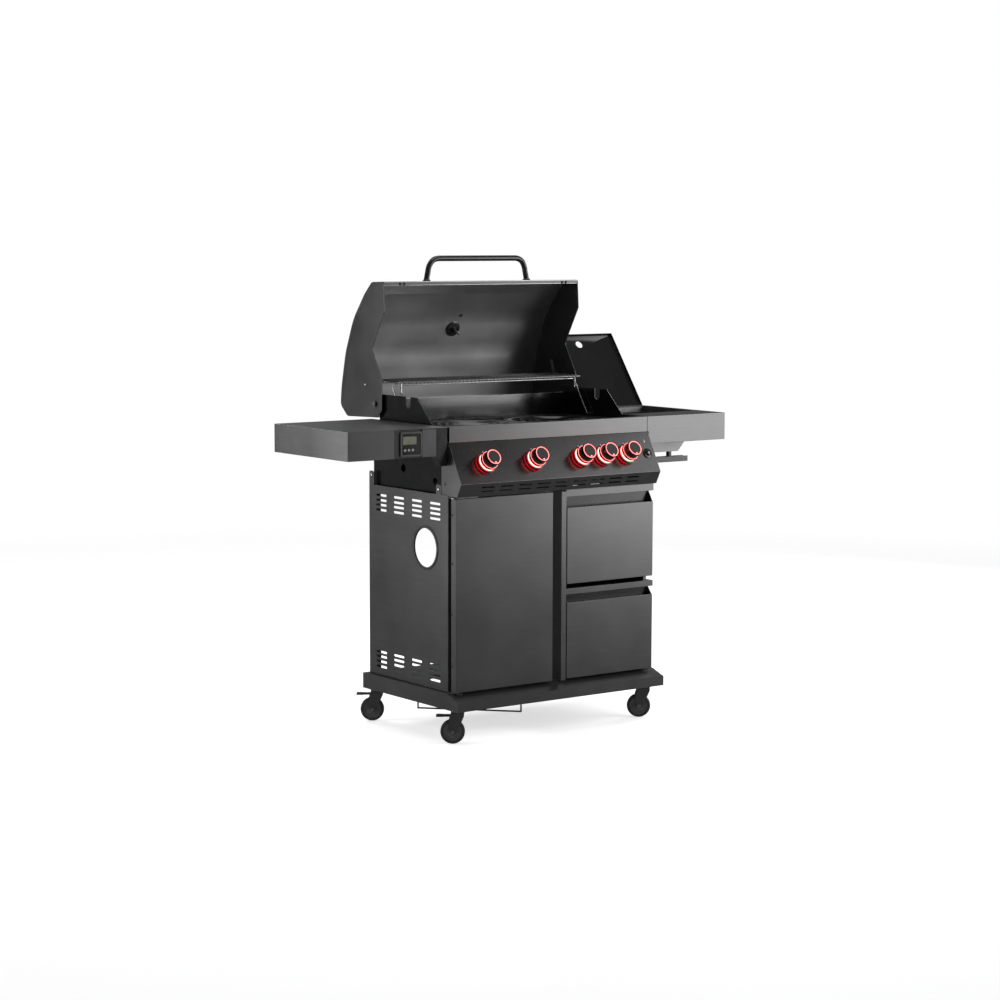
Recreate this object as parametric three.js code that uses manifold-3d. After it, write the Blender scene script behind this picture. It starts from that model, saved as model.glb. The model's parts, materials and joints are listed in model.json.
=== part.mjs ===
// Gas barbecue grill on a wheeled cabinet: four main burners under a hinged lid,
// a side burner with its own lid, one door, two drawers, four swivel casters.
// Millimetres, +Z up, +X to the cook's right, front at -Y.
// Shapes are written about the middle of the base; the last group moves them so that
// the origin lies on the floor under the middle of the whole object.

import * as THREE from "three";
import { mergeVertices } from "three/addons/utils/BufferGeometryUtils.js";
import Module from "manifold-3d";

const wasm = await Module();
wasm.setup();

// ---------------------------------------------------------------- driving dimensions
const ORIGIN_SHIFT = [16, -68]; // from the middle of the base to the middle of the object
const SHEET = 2; // sheet steel
const GAP = 0.5; // between pieces that touch

const BASE = { x: 380, y: 247, low: 100, high: 146, railHigh: 128, railDepth: 51 };
const CABINET = { x: 365, front: -178, back: 232, low: BASE.high + GAP, high: 714 };
const FACE = -213; // front plane of the door and the drawers
const SHELF = { low: 828, high: 910, front: -180, back: 211 };
const LEFT_END = -704;
const RIGHT_END = 672;
const PANEL_X = 363; // half width of the control panel
const PANEL = { top: [-180, 864], fold: [-242, 750], lip: [-222, 712] };
const FIREBOX = {
  x: 351,
  front: -150,
  back: 196,
  low: 742,
  skirt: 714.4,
  foot: 706,
  tail: 228,
  wall: 910,
  side: 983,
  rear: 966,
};
const GRATE_TOP = 898;
const TAMER_Z = 843; // lower edge of the flame tamers
const BURNER_Z = 824; // axis of the burner tubes
const LID_PIVOT = [203, 954];
const LID_X = 360; // middle of each lid side plate
const RACK_PIVOT = [150, 1010]; // rack on its legs
const LEG_ROOT = [80, 905]; // legs on the firebox
const BURNER_X = [-261, -89, 84, 254];
const KNOB_X = [-261, -89, 84, 167, 254];
const SIDE_LID = { x: [388, 672], pivot: [214, 909], reach: 281, lean: 36 };
const SIDE_BURNER = [522, 68]; // middle of the side burner
const CASTER = { x: 344, front: -198, back: 222, trail: 16, wheel: 35.5, width: 24 };
const CASTER_HEADING = 144; // degrees, the way the wheels trail
const BOTTLE_HOLE = { x: -186, y: -20, r: 118 };

// ---------------------------------------------------------------- solids
const X = 0;
const Y = 1;
const Z = 2;

function solid(geometry) {
  const bare = new THREE.BufferGeometry();
  const open = geometry.index ? geometry.toNonIndexed() : geometry;
  bare.setAttribute("position", open.getAttribute("position"));
  const merged = mergeVertices(bare, 1e-3);
  return new wasm.Manifold(
    new wasm.Mesh({
      numProp: 3,
      vertProperties: merged.attributes.position.array,
      triVerts: new Uint32Array(merged.index.array),
    }),
  );
}

const join = (...solids) => solids.flat().reduce((all, one) => all.add(one));
const cut = (body, ...tools) => tools.flat().reduce((rest, one) => rest.subtract(one), body);

function geometryOf(body) {
  const mesh = body.getMesh();
  const geometry = new THREE.BufferGeometry();
  geometry.setAttribute("position", new THREE.BufferAttribute(mesh.vertProperties, 3));
  geometry.setIndex(new THREE.BufferAttribute(mesh.triVerts, 1));
  return geometry;
}

function block([x0, x1], [y0, y1], [z0, z1]) {
  const geometry = new THREE.BoxGeometry(x1 - x0, y1 - y0, z1 - z0);
  return solid(geometry.translate((x0 + x1) / 2, (y0 + y1) / 2, (z0 + z1) / 2));
}

// An outline of [a, b] points, extruded along one axis from low to high. The outline lies
// in the other two axes: [y, z] along X, [x, z] along Y, [x, y] along Z.
function slab(axis, outline, low, high, holes = []) {
  const shape = new THREE.Shape(outline.map(([a, b]) => new THREE.Vector2(a, b)));
  shape.holes = holes.map((hole) => new THREE.Path(hole.map(([a, b]) => new THREE.Vector2(a, b))));
  const geometry = new THREE.ExtrudeGeometry(shape, { depth: high - low, bevelEnabled: false });
  if (axis === X) {
    const turn = new THREE.Matrix4();
    turn.set(0, 0, 1, low, 1, 0, 0, 0, 0, 1, 0, 0, 0, 0, 0, 1);
    geometry.applyMatrix4(turn);
  } else if (axis === Y) {
    geometry.rotateX(Math.PI / 2).translate(0, high, 0);
  } else {
    geometry.translate(0, 0, low);
  }
  return solid(geometry);
}

// A round bar from one point to another.
function bar(from, to, radius, sides = 12, farRadius = radius) {
  const a = new THREE.Vector3(...from);
  const b = new THREE.Vector3(...to);
  const along = b.clone().sub(a);
  const geometry = new THREE.CylinderGeometry(farRadius, radius, along.length(), sides);
  const turn = new THREE.Quaternion();
  turn.setFromUnitVectors(new THREE.Vector3(0, 1, 0), along.clone().normalize());
  geometry.applyQuaternion(turn);
  return solid(geometry.translate(...a.add(b).multiplyScalar(0.5).toArray()));
}

// A round wire through corner points, each corner turned on the given bend radius.
function wire(corners, radius, bend, sides = 8, steps = 40) {
  const points = corners.map((corner) => new THREE.Vector3(...corner));
  const path = new THREE.CurvePath();
  let start = points[0];
  for (let i = 1; i < points.length - 1; i += 1) {
    const into = points[i - 1].clone().sub(points[i]).setLength(bend).add(points[i]);
    const away = points[i + 1].clone().sub(points[i]).setLength(bend).add(points[i]);
    path.add(new THREE.LineCurve3(start, into));
    path.add(new THREE.QuadraticBezierCurve3(into, points[i], away));
    start = away;
  }
  path.add(new THREE.LineCurve3(start, points[points.length - 1]));
  const ring = circle(0, 0, radius, sides).map(([a, b]) => new THREE.Vector2(a, b));
  const options = { steps, bevelEnabled: false, extrudePath: path };
  return solid(new THREE.ExtrudeGeometry(new THREE.Shape(ring), options));
}

// A thin bent rod through corner points, with a ball at each corner.
function rod(corners, radius, sides = 8) {
  const lengths = corners.slice(1).map((to, i) => bar(corners[i], to, radius, sides));
  const balls = corners.slice(1, -1).map((at) => {
    const ball = new THREE.SphereGeometry(radius, sides, sides / 2);
    return solid(ball.translate(...at));
  });
  return join(lengths, balls);
}

const circle = (a, b, radius, sides = 24, turn = 0) =>
  Array.from({ length: sides }, (_, i) => {
    const angle = turn + (2 * Math.PI * i) / sides;
    return [a + radius * Math.cos(angle), b + radius * Math.sin(angle)];
  });

const rectangle = (a0, a1, b0, b1) => [
  [a0, b0],
  [a1, b0],
  [a1, b1],
  [a0, b1],
];

// The band between an open line of [a, b] points and its copy set in by a thickness.
function band(line, thickness) {
  const points = line.map(([a, b]) => new THREE.Vector2(a, b));
  const inner = points.map((point, i) => {
    const before = points[Math.max(i - 1, 0)];
    const after = points[Math.min(i + 1, points.length - 1)];
    const d1 = (i === 0 ? after.clone().sub(point) : point.clone().sub(before)).normalize();
    const d2 = (i === points.length - 1 ? d1.clone() : after.clone().sub(point)).normalize();
    const normal = new THREE.Vector2(-d1.y - d2.y, d1.x + d2.x).normalize();
    const miter = thickness / Math.max(0.3, normal.dot(new THREE.Vector2(-d1.y, d1.x)));
    return [point.x + normal.x * miter, point.y + normal.y * miter];
  });
  return [...line, ...inner.reverse()];
}

const mirrorX = (body) => body.mirror([1, 0, 0]);

// ---------------------------------------------------------------- colours
const finish = (color, roughness, metalness = 0.4) => ({ color, roughness, metalness });
const POWDER = finish(0x2b2b2c, 0.5);
const PANEL_GREY = finish(0x3c3d3f, 0.42);
const DARK = finish(0x18181a, 0.6, 0.2);
const ENAMEL = finish(0x101012, 0.2, 0.1);
const STEEL = finish(0x9a9a98, 0.35, 0.9);
const PLASTIC = finish(0x0c0c0d, 0.45, 0);
const RUBBER = finish(0x1b1b1b, 0.8, 0);
const LIGHT_GREY = finish(0xb8b9b8, 0.4, 0.6);

const object = new THREE.Group();

function piece(name, body, look, parent = object) {
  const mesh = new THREE.Mesh(geometryOf(body), new THREE.MeshStandardMaterial(look));
  mesh.name = name;
  parent.add(mesh);
  return mesh;
}

// ---------------------------------------------------------------- cart
// A wire welded under the bottle hole, which keeps the gas bottle from dropping through.
function bottleCradle() {
  const drop = 62;
  const top = BASE.high - SHEET - 1;
  const [a, b] = [
    [-316, 48],
    [-102, -174],
  ];
  return rod(
    [
      [a[0] - 12, a[1] + 12, top],
      [a[0], a[1], top],
      [a[0], a[1], drop],
      [b[0], b[1], drop],
      [b[0], b[1], top],
      [b[0] + 12, b[1] - 12, top],
    ],
    2.5,
  );
}

// A tray upside down: floor plate, four skirts, a sloped front, a hole for the bottle.
function baseTray() {
  const { x, y, low, high, railHigh, railDepth } = BASE;
  const outline = (inset) => [
    [-y + inset, low - (inset ? 10 : 0)],
    [y - inset, low - (inset ? 10 : 0)],
    [y - inset, high - inset],
    [-y + railDepth, high - inset],
    [-y + inset, railHigh - inset],
  ];
  const shell = cut(
    slab(X, outline(0), -x, x),
    slab(X, outline(SHEET), -x + SHEET, x - SHEET),
  );
  const hole = circle(BOTTLE_HOLE.x, BOTTLE_HOLE.y, BOTTLE_HOLE.r, 28);
  const mounts = [-CASTER.x, CASTER.x].flatMap((cx) =>
    [CASTER.front, CASTER.back].map((cy) => {
      const half = cy < 0 ? [-28, 30] : [-30, 22];
      return block([cx - 28, cx + 28], [cy + half[0], cy + half[1]], [low + 8, low + 12]);
    }),
  );
  const brackets = mounts.map((_, i) => {
    const cx = i < 2 ? -CASTER.x : CASTER.x;
    const cy = i % 2 ? CASTER.back : CASTER.front;
    return block([cx - 10, cx + 10], [cy - 8, cy + 8], [low + 11, high - SHEET / 2]);
  });
  return join(cut(shell, slab(Z, hole, low, high + 10)), mounts, brackets, bottleCradle());
}

const SLOT_GROUPS = [
  [140, 195],
  [48, 102],
  [-44, 8],
  [-138, -85],
];
const SLOT_ROWS = [686, 671, 657, 642, 217, 203, 188, 173];
const HAND_HOLE = { y: -64, z: 554, r: 58.5 };

// One flat side of the cabinet with flanges, vents, a hand hole and two tabs on top.
function leftSide() {
  const { x, front, back, low, high } = CABINET;
  const vents = SLOT_GROUPS.flatMap(([a, b]) =>
    SLOT_ROWS.map((z) => block([-x - 5, -x + 5], [a, b], [z - 3.5, z + 3.5])),
  );
  const hole = circle(HAND_HOLE.y, HAND_HOLE.z, HAND_HOLE.r, 28);
  const sheet = cut(block([-x, -x + SHEET], [front, back], [low, high]), vents);
  const ring = cut(
    slab(X, circle(HAND_HOLE.y, HAND_HOLE.z, HAND_HOLE.r + 6, 28), -x - 2.5, -x + SHEET),
    slab(X, hole, -x - 5, -x + 5),
  );
  const flanges = [
    block([-x, -x + 11], [front, front + SHEET], [low, high]),
    block([-x, -x + 40], [back - SHEET, back], [low, high]),
    block([-x, -x + 16], [front, back], [low, low + SHEET]),
  ];
  const tabs = [
    block([-x, -x + SHEET], [-142, -116], [high - 1, 742]),
    block([-x, -x + SHEET], [208, 232], [high - 1, 755]),
  ];
  const opening = slab(X, hole, -x - 5, -x + 5);
  return join(cut(sheet, opening), ring, flanges, tabs);
}

// The door hangs on two pins in these ears of the left side.
const DOOR_PIVOT = [-356, -201];

function doorEars() {
  const [px, py] = DOOR_PIVOT;
  return [CABINET.low, 708].map((z) =>
    cut(
      block([-CABINET.x, px + 8], [py - 7, CABINET.front + SHEET], [z, z + SHEET]),
      slab(Z, circle(px, py, 3.6, 12), z - 5, z + 5),
    ),
  );
}

const RUNNER_Z = [300, 600];

function rightSide() {
  const plain = mirrorX(leftSide());
  const runners = RUNNER_Z.map((z) => block([354, 364], [-160, 215], [z, z + 12]));
  return join(plain, runners);
}

piece("base_tray", baseTray(), POWDER);
piece("left_side_panel", join(leftSide(), doorEars()), PANEL_GREY);
piece("right_side_panel", rightSide(), PANEL_GREY);

// Divider between bottle bay and drawers, folded round as the back of the drawer bay,
// with the strip beside the door and the two rails above the drawers.
const RAILS = [
  [690, 711.4],
  [401, 418],
];

function drawerFrame() {
  const { low, high, back } = CABINET;
  const inner = CABINET.x - SHEET - GAP;
  return join(
    block([31, 33], [-211, back - 4], [low, high]),
    block([15, 33], [-213, -211], [low, 706]),
    block([31, 322], [back - 6, back - 4], [low, high]),
    RUNNER_Z.map((z) => block([32, 44], [-160, 215], [z, z + 12])),
    RAILS.map(([a, b]) => block([32, inner], [-213, -186], [a, b])),
    RAILS.map(([a]) => block([32, inner], [-188, -182], [a, a + 6])),
  );
}

piece("drawer_frame", drawerFrame(), PANEL_GREY);

// ---------------------------------------------------------------- firebox
// A side wall of the firebox with its holes, and the bolt that the lid turns on.
function fireboxWall() {
  const { x, front, back, foot, tail, wall, side } = FIREBOX;
  const outline = [
    [front, foot],
    [tail, foot],
    [tail, 896],
    [back, 903],
    [back, 922],
    [back + 22, 936],
    [back + 22, side],
    [58, side],
    [58, 958],
    [52, 949],
    [40, 949],
    [34, 958],
    [34, side],
    [0, side],
    [-77, wall],
    [front, wall - 2],
  ];
  const round = [
    [-92, 747, 11],
    [71, 773, 12],
    [-103, 805, 11],
    [...LEG_ROOT, 3.4],
  ];
  const holes = round.map(([y, z, r]) => circle(y, z, r, 10));
  const plate = slab(X, outline, -x, -x + SHEET, holes);
  const bolt = bar([-x + 1, ...LID_PIVOT], [-364, ...LID_PIVOT], 5, 10);
  const head = bar([-362.5, ...LID_PIVOT], [-366, ...LID_PIVOT], 9, 10);
  return join(plate, bolt, head);
}

// The tub between the walls: front, floor and rear, with the ledges for grates and tamers.
function firebox() {
  const { x, front, back, low, skirt, wall, rear } = FIREBOX;
  const inside = x - SHEET - GAP;
  const rearWall = block([-inside, inside], [back - SHEET, back], [low, rear]);
  const frontWall = cut(
    block([-inside, inside], [front, front + SHEET], [skirt, wall - 2]),
    BURNER_X.map((x) => bar([x, front - 5, BURNER_Z], [x, front + 5, BURNER_Z], 11, 8)),
  );
  const floor = cut(
    block([-inside, inside], [front + 1, back - 1], [low, low + SHEET]),
    block([-250, 250], [-60, 120], [low - 5, low + 5]),
  );
  const ledges = [GRATE_TOP - 11.5, TAMER_Z - 4].flatMap((z) => [
    block([-inside, inside], [front + 1, front + 14], [z, z + SHEET]),
    block([-inside, inside], [back - 14, back - 1], [z, z + SHEET]),
  ]);
  const trayRails = [-1, 1].flatMap((side) => {
    const across = (a, b) => (side < 0 ? [-b, -a] : [a, b]);
    return [
      block(across(264, 266), [-72, 190], [717, low + 1]),
      block(across(258.5, 266), [-72, 190], [717, 719]),
    ];
  });
  return join(rearWall, frontWall, floor, ledges, trayRails);
}

piece("firebox", firebox(), ENAMEL);
piece("firebox_left_wall", fireboxWall(), ENAMEL);
piece("firebox_right_wall", mirrorX(fireboxWall()), ENAMEL);

// A tray under the opening in the firebox floor, drawn out to the back.
function greaseTray() {
  const outer = block([-262, 262], [-72, 236], [722, 740]);
  const inner = block([-260, 260], [-70, 234], [724, 745]);
  const grip = block([-60, 60], [235, 250], [734, 736]);
  return join(cut(outer, inner), grip);
}

piece("grease_tray", greaseTray(), STEEL);

// A tube burner: narrow throat at the gas outlet, a foot at the back.
function burnerTube(x) {
  const tube = bar([x, -134, BURNER_Z], [x, 176, BURNER_Z], 13, 14);
  const throat = bar([x, -144, BURNER_Z], [x, -130, BURNER_Z], 8, 12);
  const foot = block([x - 18, x + 18], [172, 193.5], [BURNER_Z - 16, BURNER_Z - 12]);
  const web = block([x - 3, x + 3], [170, 176], [BURNER_Z - 16, BURNER_Z]);
  return join(tube, throat, foot, web);
}

function flameTamer(x) {
  const line = [
    [x + 46, TAMER_Z],
    [x + 12, TAMER_Z + 26],
    [x - 12, TAMER_Z + 26],
    [x - 46, TAMER_Z],
  ];
  const roof = slab(Y, band(line, 1.5), -146, 192);
  const slots = [-100, -40, 20, 80, 140].map((y) =>
    block([x - 60, x + 60], [y, y + 8], [TAMER_Z + 8, TAMER_Z + 18]),
  );
  return cut(roof, slots);
}

BURNER_X.forEach((x, i) => {
  piece(`burner_${i + 1}`, burnerTube(x), STEEL);
  piece(`flame_tamer_${i + 1}`, flameTamer(x), STEEL);
});

// ---------------------------------------------------------------- cooking grates
const GRATE = { front: -146, back: 192, bar: 6, pitch: 28 };
const INSERT = { x: 152, y: 12, r: 138 };

// A cast grate of bars with a round opening that takes a drop-in insert.
function grate(x0, x1, hole) {
  const { front, back, bar: width, pitch } = GRATE;
  const [low, high] = [GRATE_TOP - 9, GRATE_TOP];
  const rails = [
    block([x0, x1], [front, front + 8], [low, high]),
    block([x0, x1], [back - 8, back], [low, high]),
    block([x0, x0 + 8], [front, back], [low, high]),
    block([x1 - 8, x1], [front, back], [low, high]),
  ];
  const count = Math.round((x1 - x0 - width) / pitch);
  const step = (x1 - x0 - width) / count;
  const bars = Array.from({ length: count - 1 }, (_, i) => {
    const left = x0 + (i + 1) * step;
    return block([left, left + width], [front + 1, back - 1], [low + 1, high - 0.5]);
  });
  const ring = slab(Z, circle(...hole, INSERT.r + 9, 24), low, high);
  return cut(join(rails, bars, ring), slab(Z, circle(...hole, INSERT.r, 24), low - 5, high + 5));
}

// The insert: a rim, a solid middle and spokes between them.
function roundInsert(x, y) {
  const [low, high] = [GRATE_TOP - 8, GRATE_TOP];
  const rim = cut(
    slab(Z, circle(x, y, INSERT.r - 0.8, 24), low, high),
    slab(Z, circle(x, y, INSERT.r - 12, 24), low - 5, high + 5),
  );
  const middle = slab(Z, circle(x, y, 54, 16), low, high);
  const spokes = Array.from({ length: 10 }, (_, i) => {
    const angle = (Math.PI * i) / 5;
    const end = (r) => [x + r * Math.cos(angle), y + r * Math.sin(angle)];
    const side = [-Math.sin(angle) * 3, Math.cos(angle) * 3];
    const [near, far] = [end(50), end(INSERT.r - 8)];
    const outline = [
      [near[0] - side[0], near[1] - side[1]],
      [far[0] - side[0], far[1] - side[1]],
      [far[0] + side[0], far[1] + side[1]],
      [near[0] + side[0], near[1] + side[1]],
    ];
    return slab(Z, outline, low + 1, high - 0.5);
  });
  return join(rim, middle, spokes);
}

[
  ["left", -346, -1, -INSERT.x],
  ["right", 1, 346, INSERT.x],
].forEach(([side, x0, x1, x]) => {
  piece(`${side}_grate`, grate(x0, x1, [x, INSERT.y]), DARK);
  piece(`${side}_round_insert`, roundInsert(x, INSERT.y), ENAMEL);
});

// ---------------------------------------------------------------- gas rail and controls
const panelSlope = new THREE.Vector2(
  PANEL.fold[0] - PANEL.top[0],
  PANEL.fold[1] - PANEL.top[1],
).normalize();
// Out of the sloped face, in [y, z].
const panelNormal = new THREE.Vector2(panelSlope.y, -panelSlope.x);
// The knobs' line is this far down the slope.
const KNOB_DOWN = 70;
const knobFoot = [
  PANEL.top[0] + panelSlope.x * KNOB_DOWN,
  PANEL.top[1] + panelSlope.y * KNOB_DOWN,
];
const onKnobAxis = (x, out) => [
  x,
  knobFoot[0] + panelNormal.x * out,
  knobFoot[1] + panelNormal.y * out,
];

function gasManifold() {
  const [, y, z] = onKnobAxis(0, -38);
  const rail = bar([-330, y, z], [340, y, z], 10, 6);
  const valves = KNOB_X.flatMap((x) => [
    bar(onKnobAxis(x, -48), onKnobAxis(x, -14), 13, 6),
    bar(onKnobAxis(x, -16), onKnobAxis(x, 9), 4, 6),
  ]);
  const outlets = BURNER_X.map((x) => bar([x, y, z], [x, -147, BURNER_Z], 4, 6));
  return join(rail, valves, outlets);
}

piece("gas_manifold", gasManifold(), STEEL);

const SWITCH_X = 336;
const PANEL_SLOTS = { first: -288, pitch: 66.3, length: 46, count: 9 };

const CHEEK = [
  [-180, 863],
  PANEL.fold,
  PANEL.lip,
  [-181, PANEL.lip[1]],
  [-181, CABINET.high + GAP],
  [-145, CABINET.high + GAP],
  [-145, 820],
  [-152, 863],
];

// An end plate welded to the folded panel, with a flange that meets the firebox.
function endCheek() {
  const plate = slab(X, CHEEK, -PANEL_X - SHEET - GAP, -PANEL_X + GAP);
  const flange = block([-PANEL_X - SHEET, -PANEL_X + 11], [-147, -145], [716, 816]);
  return join(plate, flange);
}

// The panel's lower edge turns back over the door and ends in a strip behind the door's top.
const APRON = { x: [-346, 29], back: -182.5, low: 705.4 };

// The folded panel between its two end plates, with holes for stems, switch and vents.
function controlPanel() {
  const line = [PANEL.lip, PANEL.fold, PANEL.top];
  const sheet = slab(X, band(line, -SHEET), -PANEL_X, PANEL_X);
  const stems = KNOB_X.map((x) => bar(onKnobAxis(x, -10), onKnobAxis(x, 10), 7, 12));
  const [fold, lip] = [PANEL.fold, PANEL.lip];
  const vents = [0.33, 0.67].flatMap((share) =>
    Array.from({ length: PANEL_SLOTS.count }, (_, i) => {
      const x = PANEL_SLOTS.first + i * PANEL_SLOTS.pitch;
      const y = fold[0] + (lip[0] - fold[0]) * share;
      const z = fold[1] + (lip[1] - fold[1]) * share;
      return block([x, x + PANEL_SLOTS.length], [y - 8, y + 8], [z - 2.6, z + 2.6]);
    }),
  );
  const switchHole = bar(onKnobAxis(SWITCH_X, -10), onKnobAxis(SWITCH_X, 10), 9, 12);
  const apron = join(
    block(APRON.x, [lip[0] + 0.5, APRON.back], [lip[1] + 0.2, lip[1] + 1.7]),
    block(APRON.x, [APRON.back - SHEET, APRON.back], [APRON.low, lip[1] + 1.7]),
  );
  return join(cut(sheet, stems, vents, switchHole), apron, endCheek(), mirrorX(endCheek()));
}

piece("control_panel", controlPanel(), DARK);

// A press switch low on the right of the panel, its cap proud of the face.
function lightSwitch() {
  return join(
    bar(onKnobAxis(SWITCH_X, -7), onKnobAxis(SWITCH_X, 9), 8, 10),
    bar(onKnobAxis(SWITCH_X, 4), onKnobAxis(SWITCH_X, 9.5), 8.4, 10, 7),
  );
}

piece("light_switch", lightSwitch(), PLASTIC);

// A stepped knob: skirt, glowing neck and grip, hollow over its valve stem.
const KNOB_STEPS = [
  [2, 32],
  [10, 32],
  [12, 28],
  [24, 28],
  [26, 24],
  [50, 24],
];

function knob() {
  const profile = [
    new THREE.Vector2(0, 12),
    new THREE.Vector2(6, 12),
    new THREE.Vector2(6, KNOB_STEPS[0][0]),
    ...KNOB_STEPS.map(([height, radius]) => new THREE.Vector2(radius, height)),
    new THREE.Vector2(0, 50),
  ];
  return solid(new THREE.LatheGeometry(profile, 16));
}

KNOB_X.forEach((x, i) => {
  const axis = new THREE.Group();
  axis.position.set(...onKnobAxis(x, 0));
  axis.rotation.x = Math.atan2(panelNormal.y, panelNormal.x);
  object.add(axis);
  piece(`knob_${i + 1}`, knob(), PLASTIC, axis);
});

// Trim along the front, under the lid's edge, turned back over the panel.
function frontTrim() {
  const { high, front } = SHELF;
  const line = [
    [-154, high - SHEET],
    [-154, high],
    [front, high],
    [front, PANEL.top[1] + GAP],
    [front + 12, PANEL.top[1] + GAP],
  ];
  return slab(X, band(line, SHEET), -PANEL_X, PANEL_X);
}

piece("front_trim", frontTrim(), PANEL_GREY);

// ---------------------------------------------------------------- side shelves
function shelf(x0, x1) {
  const { low, high, front, back } = SHELF;
  const outer = block([x0, x1], [front, back], [low, high]);
  const inner = block([x0 + SHEET, x1 - SHEET], [front + SHEET, back - SHEET], [low - 10, high - SHEET]);
  return cut(outer, inner);
}

// A spacer block that bolts the shelf to the side of the firebox.
const shelfBracket = (x0, x1) => block([x0, x1], [-20, 60], [836, 894]);

const HOUSING_X = [-549, -406];

function leftShelf() {
  const { front, low, high } = SHELF;
  const left = HOUSING_X[0] - 1;
  const body = shelf(LEFT_END, -368);
  const recess = block([left, -360], [front - 10, front + 30], [low - 10, high - SHEET]);
  const backing = block([left, -369], [front + 28, front + 30], [low, high - 1]);
  return join(cut(body, recess), backing, shelfBracket(-369, -351.5));
}

piece("left_shelf", leftShelf(), PANEL_GREY);

// Housing of the digital thermometer, let into the front of the left shelf.
const BUTTON_X = [-514, -501, -488];
const BUTTON_Z = 851;

function thermometerHousing() {
  const top = SHELF.high - SHEET - GAP;
  const y = SHELF.front;
  const body = block(HOUSING_X, [y, y + 27], [SHELF.low, top]);
  const window = block([-526, -466], [y - 5, y + 2.5], [865, 893]);
  const wells = BUTTON_X.map((x) => bar([x, y - 5, BUTTON_Z], [x, y + 12, BUTTON_Z], 4.6, 10));
  return cut(body, window, wells);
}

piece("thermometer_housing", thermometerHousing(), PLASTIC);
BUTTON_X.forEach((x, i) => {
  const y = SHELF.front;
  const cap = bar([x, y - 2, BUTTON_Z], [x, y + 10, BUTTON_Z], 4.1, 10);
  piece(`thermometer_button_${i + 1}`, cap, LIGHT_GREY);
});

// Black moulding that fills the corner between the shelf and the control panel.
function cornerCover() {
  const y = SHELF.front;
  const outline = [
    [HOUSING_X[1] + GAP, SHELF.high - SHEET - GAP],
    [HOUSING_X[1] + GAP, 822],
    [-392, 800],
    [-369, 800],
    [-369, SHELF.high - SHEET - GAP],
  ];
  return slab(Y, outline, y + 1, y + 27);
}

piece("corner_cover", cornerCover(), PLASTIC);

const WELL = { x: [392, 652], y: [-60, 196] };
const PAN_FLOOR = 786;

// Open well in the top for the side burner.
function rightShelf() {
  const body = shelf(368, RIGHT_END);
  const well = block(WELL.x, WELL.y, [SHELF.low - 10, SHELF.high + 10]);
  const { front, high } = SHELF;
  const skirt = block([PANEL_X + GAP, 369], [front, front + SHEET], [PANEL.top[1] + GAP, high]);
  return join(cut(body, well), skirt, shelfBracket(351.5, 369));
}

piece("right_shelf", rightShelf(), PANEL_GREY);

// Tapered pan under the side burner, with a channel beneath that carries it.
function sidePan() {
  const outer = slab(
    Y,
    [
      [400, SHELF.high - SHEET - GAP],
      [400, PAN_FLOOR],
      [590, PAN_FLOOR],
      [622, 822],
      [650, 826],
      [650, SHELF.high - SHEET - GAP],
    ],
    WELL.y[0] + 4,
    WELL.y[1] - 4,
  );
  const inner = slab(
    Y,
    [
      [402, SHELF.high + 10],
      [402, PAN_FLOOR + 2],
      [589, PAN_FLOOR + 2],
      [620, 824],
      [648, 828],
      [648, SHELF.high + 10],
    ],
    WELL.y[0] + 6,
    WELL.y[1] - 6,
  );
  const channel = block([372, 632], [-54, -28], [752, 770]);
  const groove = block([374, 634], [-52, -30], [754, 775]);
  const hangers = [410, 560].map((x) => block([x, x + 10], [-48, -34], [753, PAN_FLOOR + 1]));
  return join(cut(outer, inner), cut(channel, groove), hangers);
}

piece("side_burner_pan", sidePan(), LIGHT_GREY);

function burnerHead() {
  const [x, y] = SIDE_BURNER;
  const base = bar([x, y, PAN_FLOOR + 2.3], [x, y, 842], 14, 16);
  const cup = bar([x, y, 838], [x, y, 858], 24, 24, 42);
  const cap = bar([x, y, 857], [x, y, 866], 38, 24, 34);
  return join(base, cup, cap);
}

piece("side_burner_head", burnerHead(), DARK);

// Pot support: a square frame on four legs, with fingers that point at the burner.
function potSupport() {
  const [x, y] = SIDE_BURNER;
  const half = 112;
  const [low, high] = [886, 894];
  const square = (reach, z0, z1) => block([x - reach, x + reach], [y - reach, y + reach], [z0, z1]);
  const frame = cut(square(half, low, high), square(half - 8, low - 5, high + 5));
  const cross = join(
    block([x - half + 1, x + half - 1], [y - 4, y + 4], [low, high]),
    block([x - 4, x + 4], [y - half + 1, y + half - 1], [low, high]),
  );
  const fingers = cut(cross, square(34, low - 5, high + 5));
  const legs = [-1, 1].flatMap((sx) =>
    [-1, 1].map((sy) => {
      const [cx, cy] = [x + sx * (half - 4), y + sy * (half - 4)];
      const foot = sx > 0 ? 831 : PAN_FLOOR + SHEET + GAP;
      return block([cx - 4, cx + 4], [cy - 4, cy + 4], [foot, low + 1]);
    }),
  );
  return join(frame, fingers, legs);
}

piece("side_burner_grate", potSupport(), DARK);

// Shallow lid of the side burner, stored open: it leans back past upright.
// Its local frame is that of the closed lid, with the pivot at the origin.
function sideLid() {
  const [x0, x1] = SIDE_LID.x;
  const [front, back] = [-SIDE_LID.reach, -3];
  const [low, high] = [2, 14];
  const outer = block([x0, x1], [front, back], [low, high]);
  const inner = block(
    [x0 + SHEET, x1 - SHEET],
    [front + SHEET, back - SHEET],
    [low - 5, high - SHEET],
  );
  const hole = slab(Z, circle((x0 + x1) / 2, front + 34, 12.5, 20), low, high + 10);
  return cut(outer, inner, hole);
}

const sideLidHinge = new THREE.Group();
sideLidHinge.position.set(0, ...SIDE_LID.pivot);
sideLidHinge.rotation.x = THREE.MathUtils.degToRad(-90 - SIDE_LID.lean);
object.add(sideLidHinge);
piece("side_burner_lid", sideLid(), PANEL_GREY, sideLidHinge);

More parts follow.
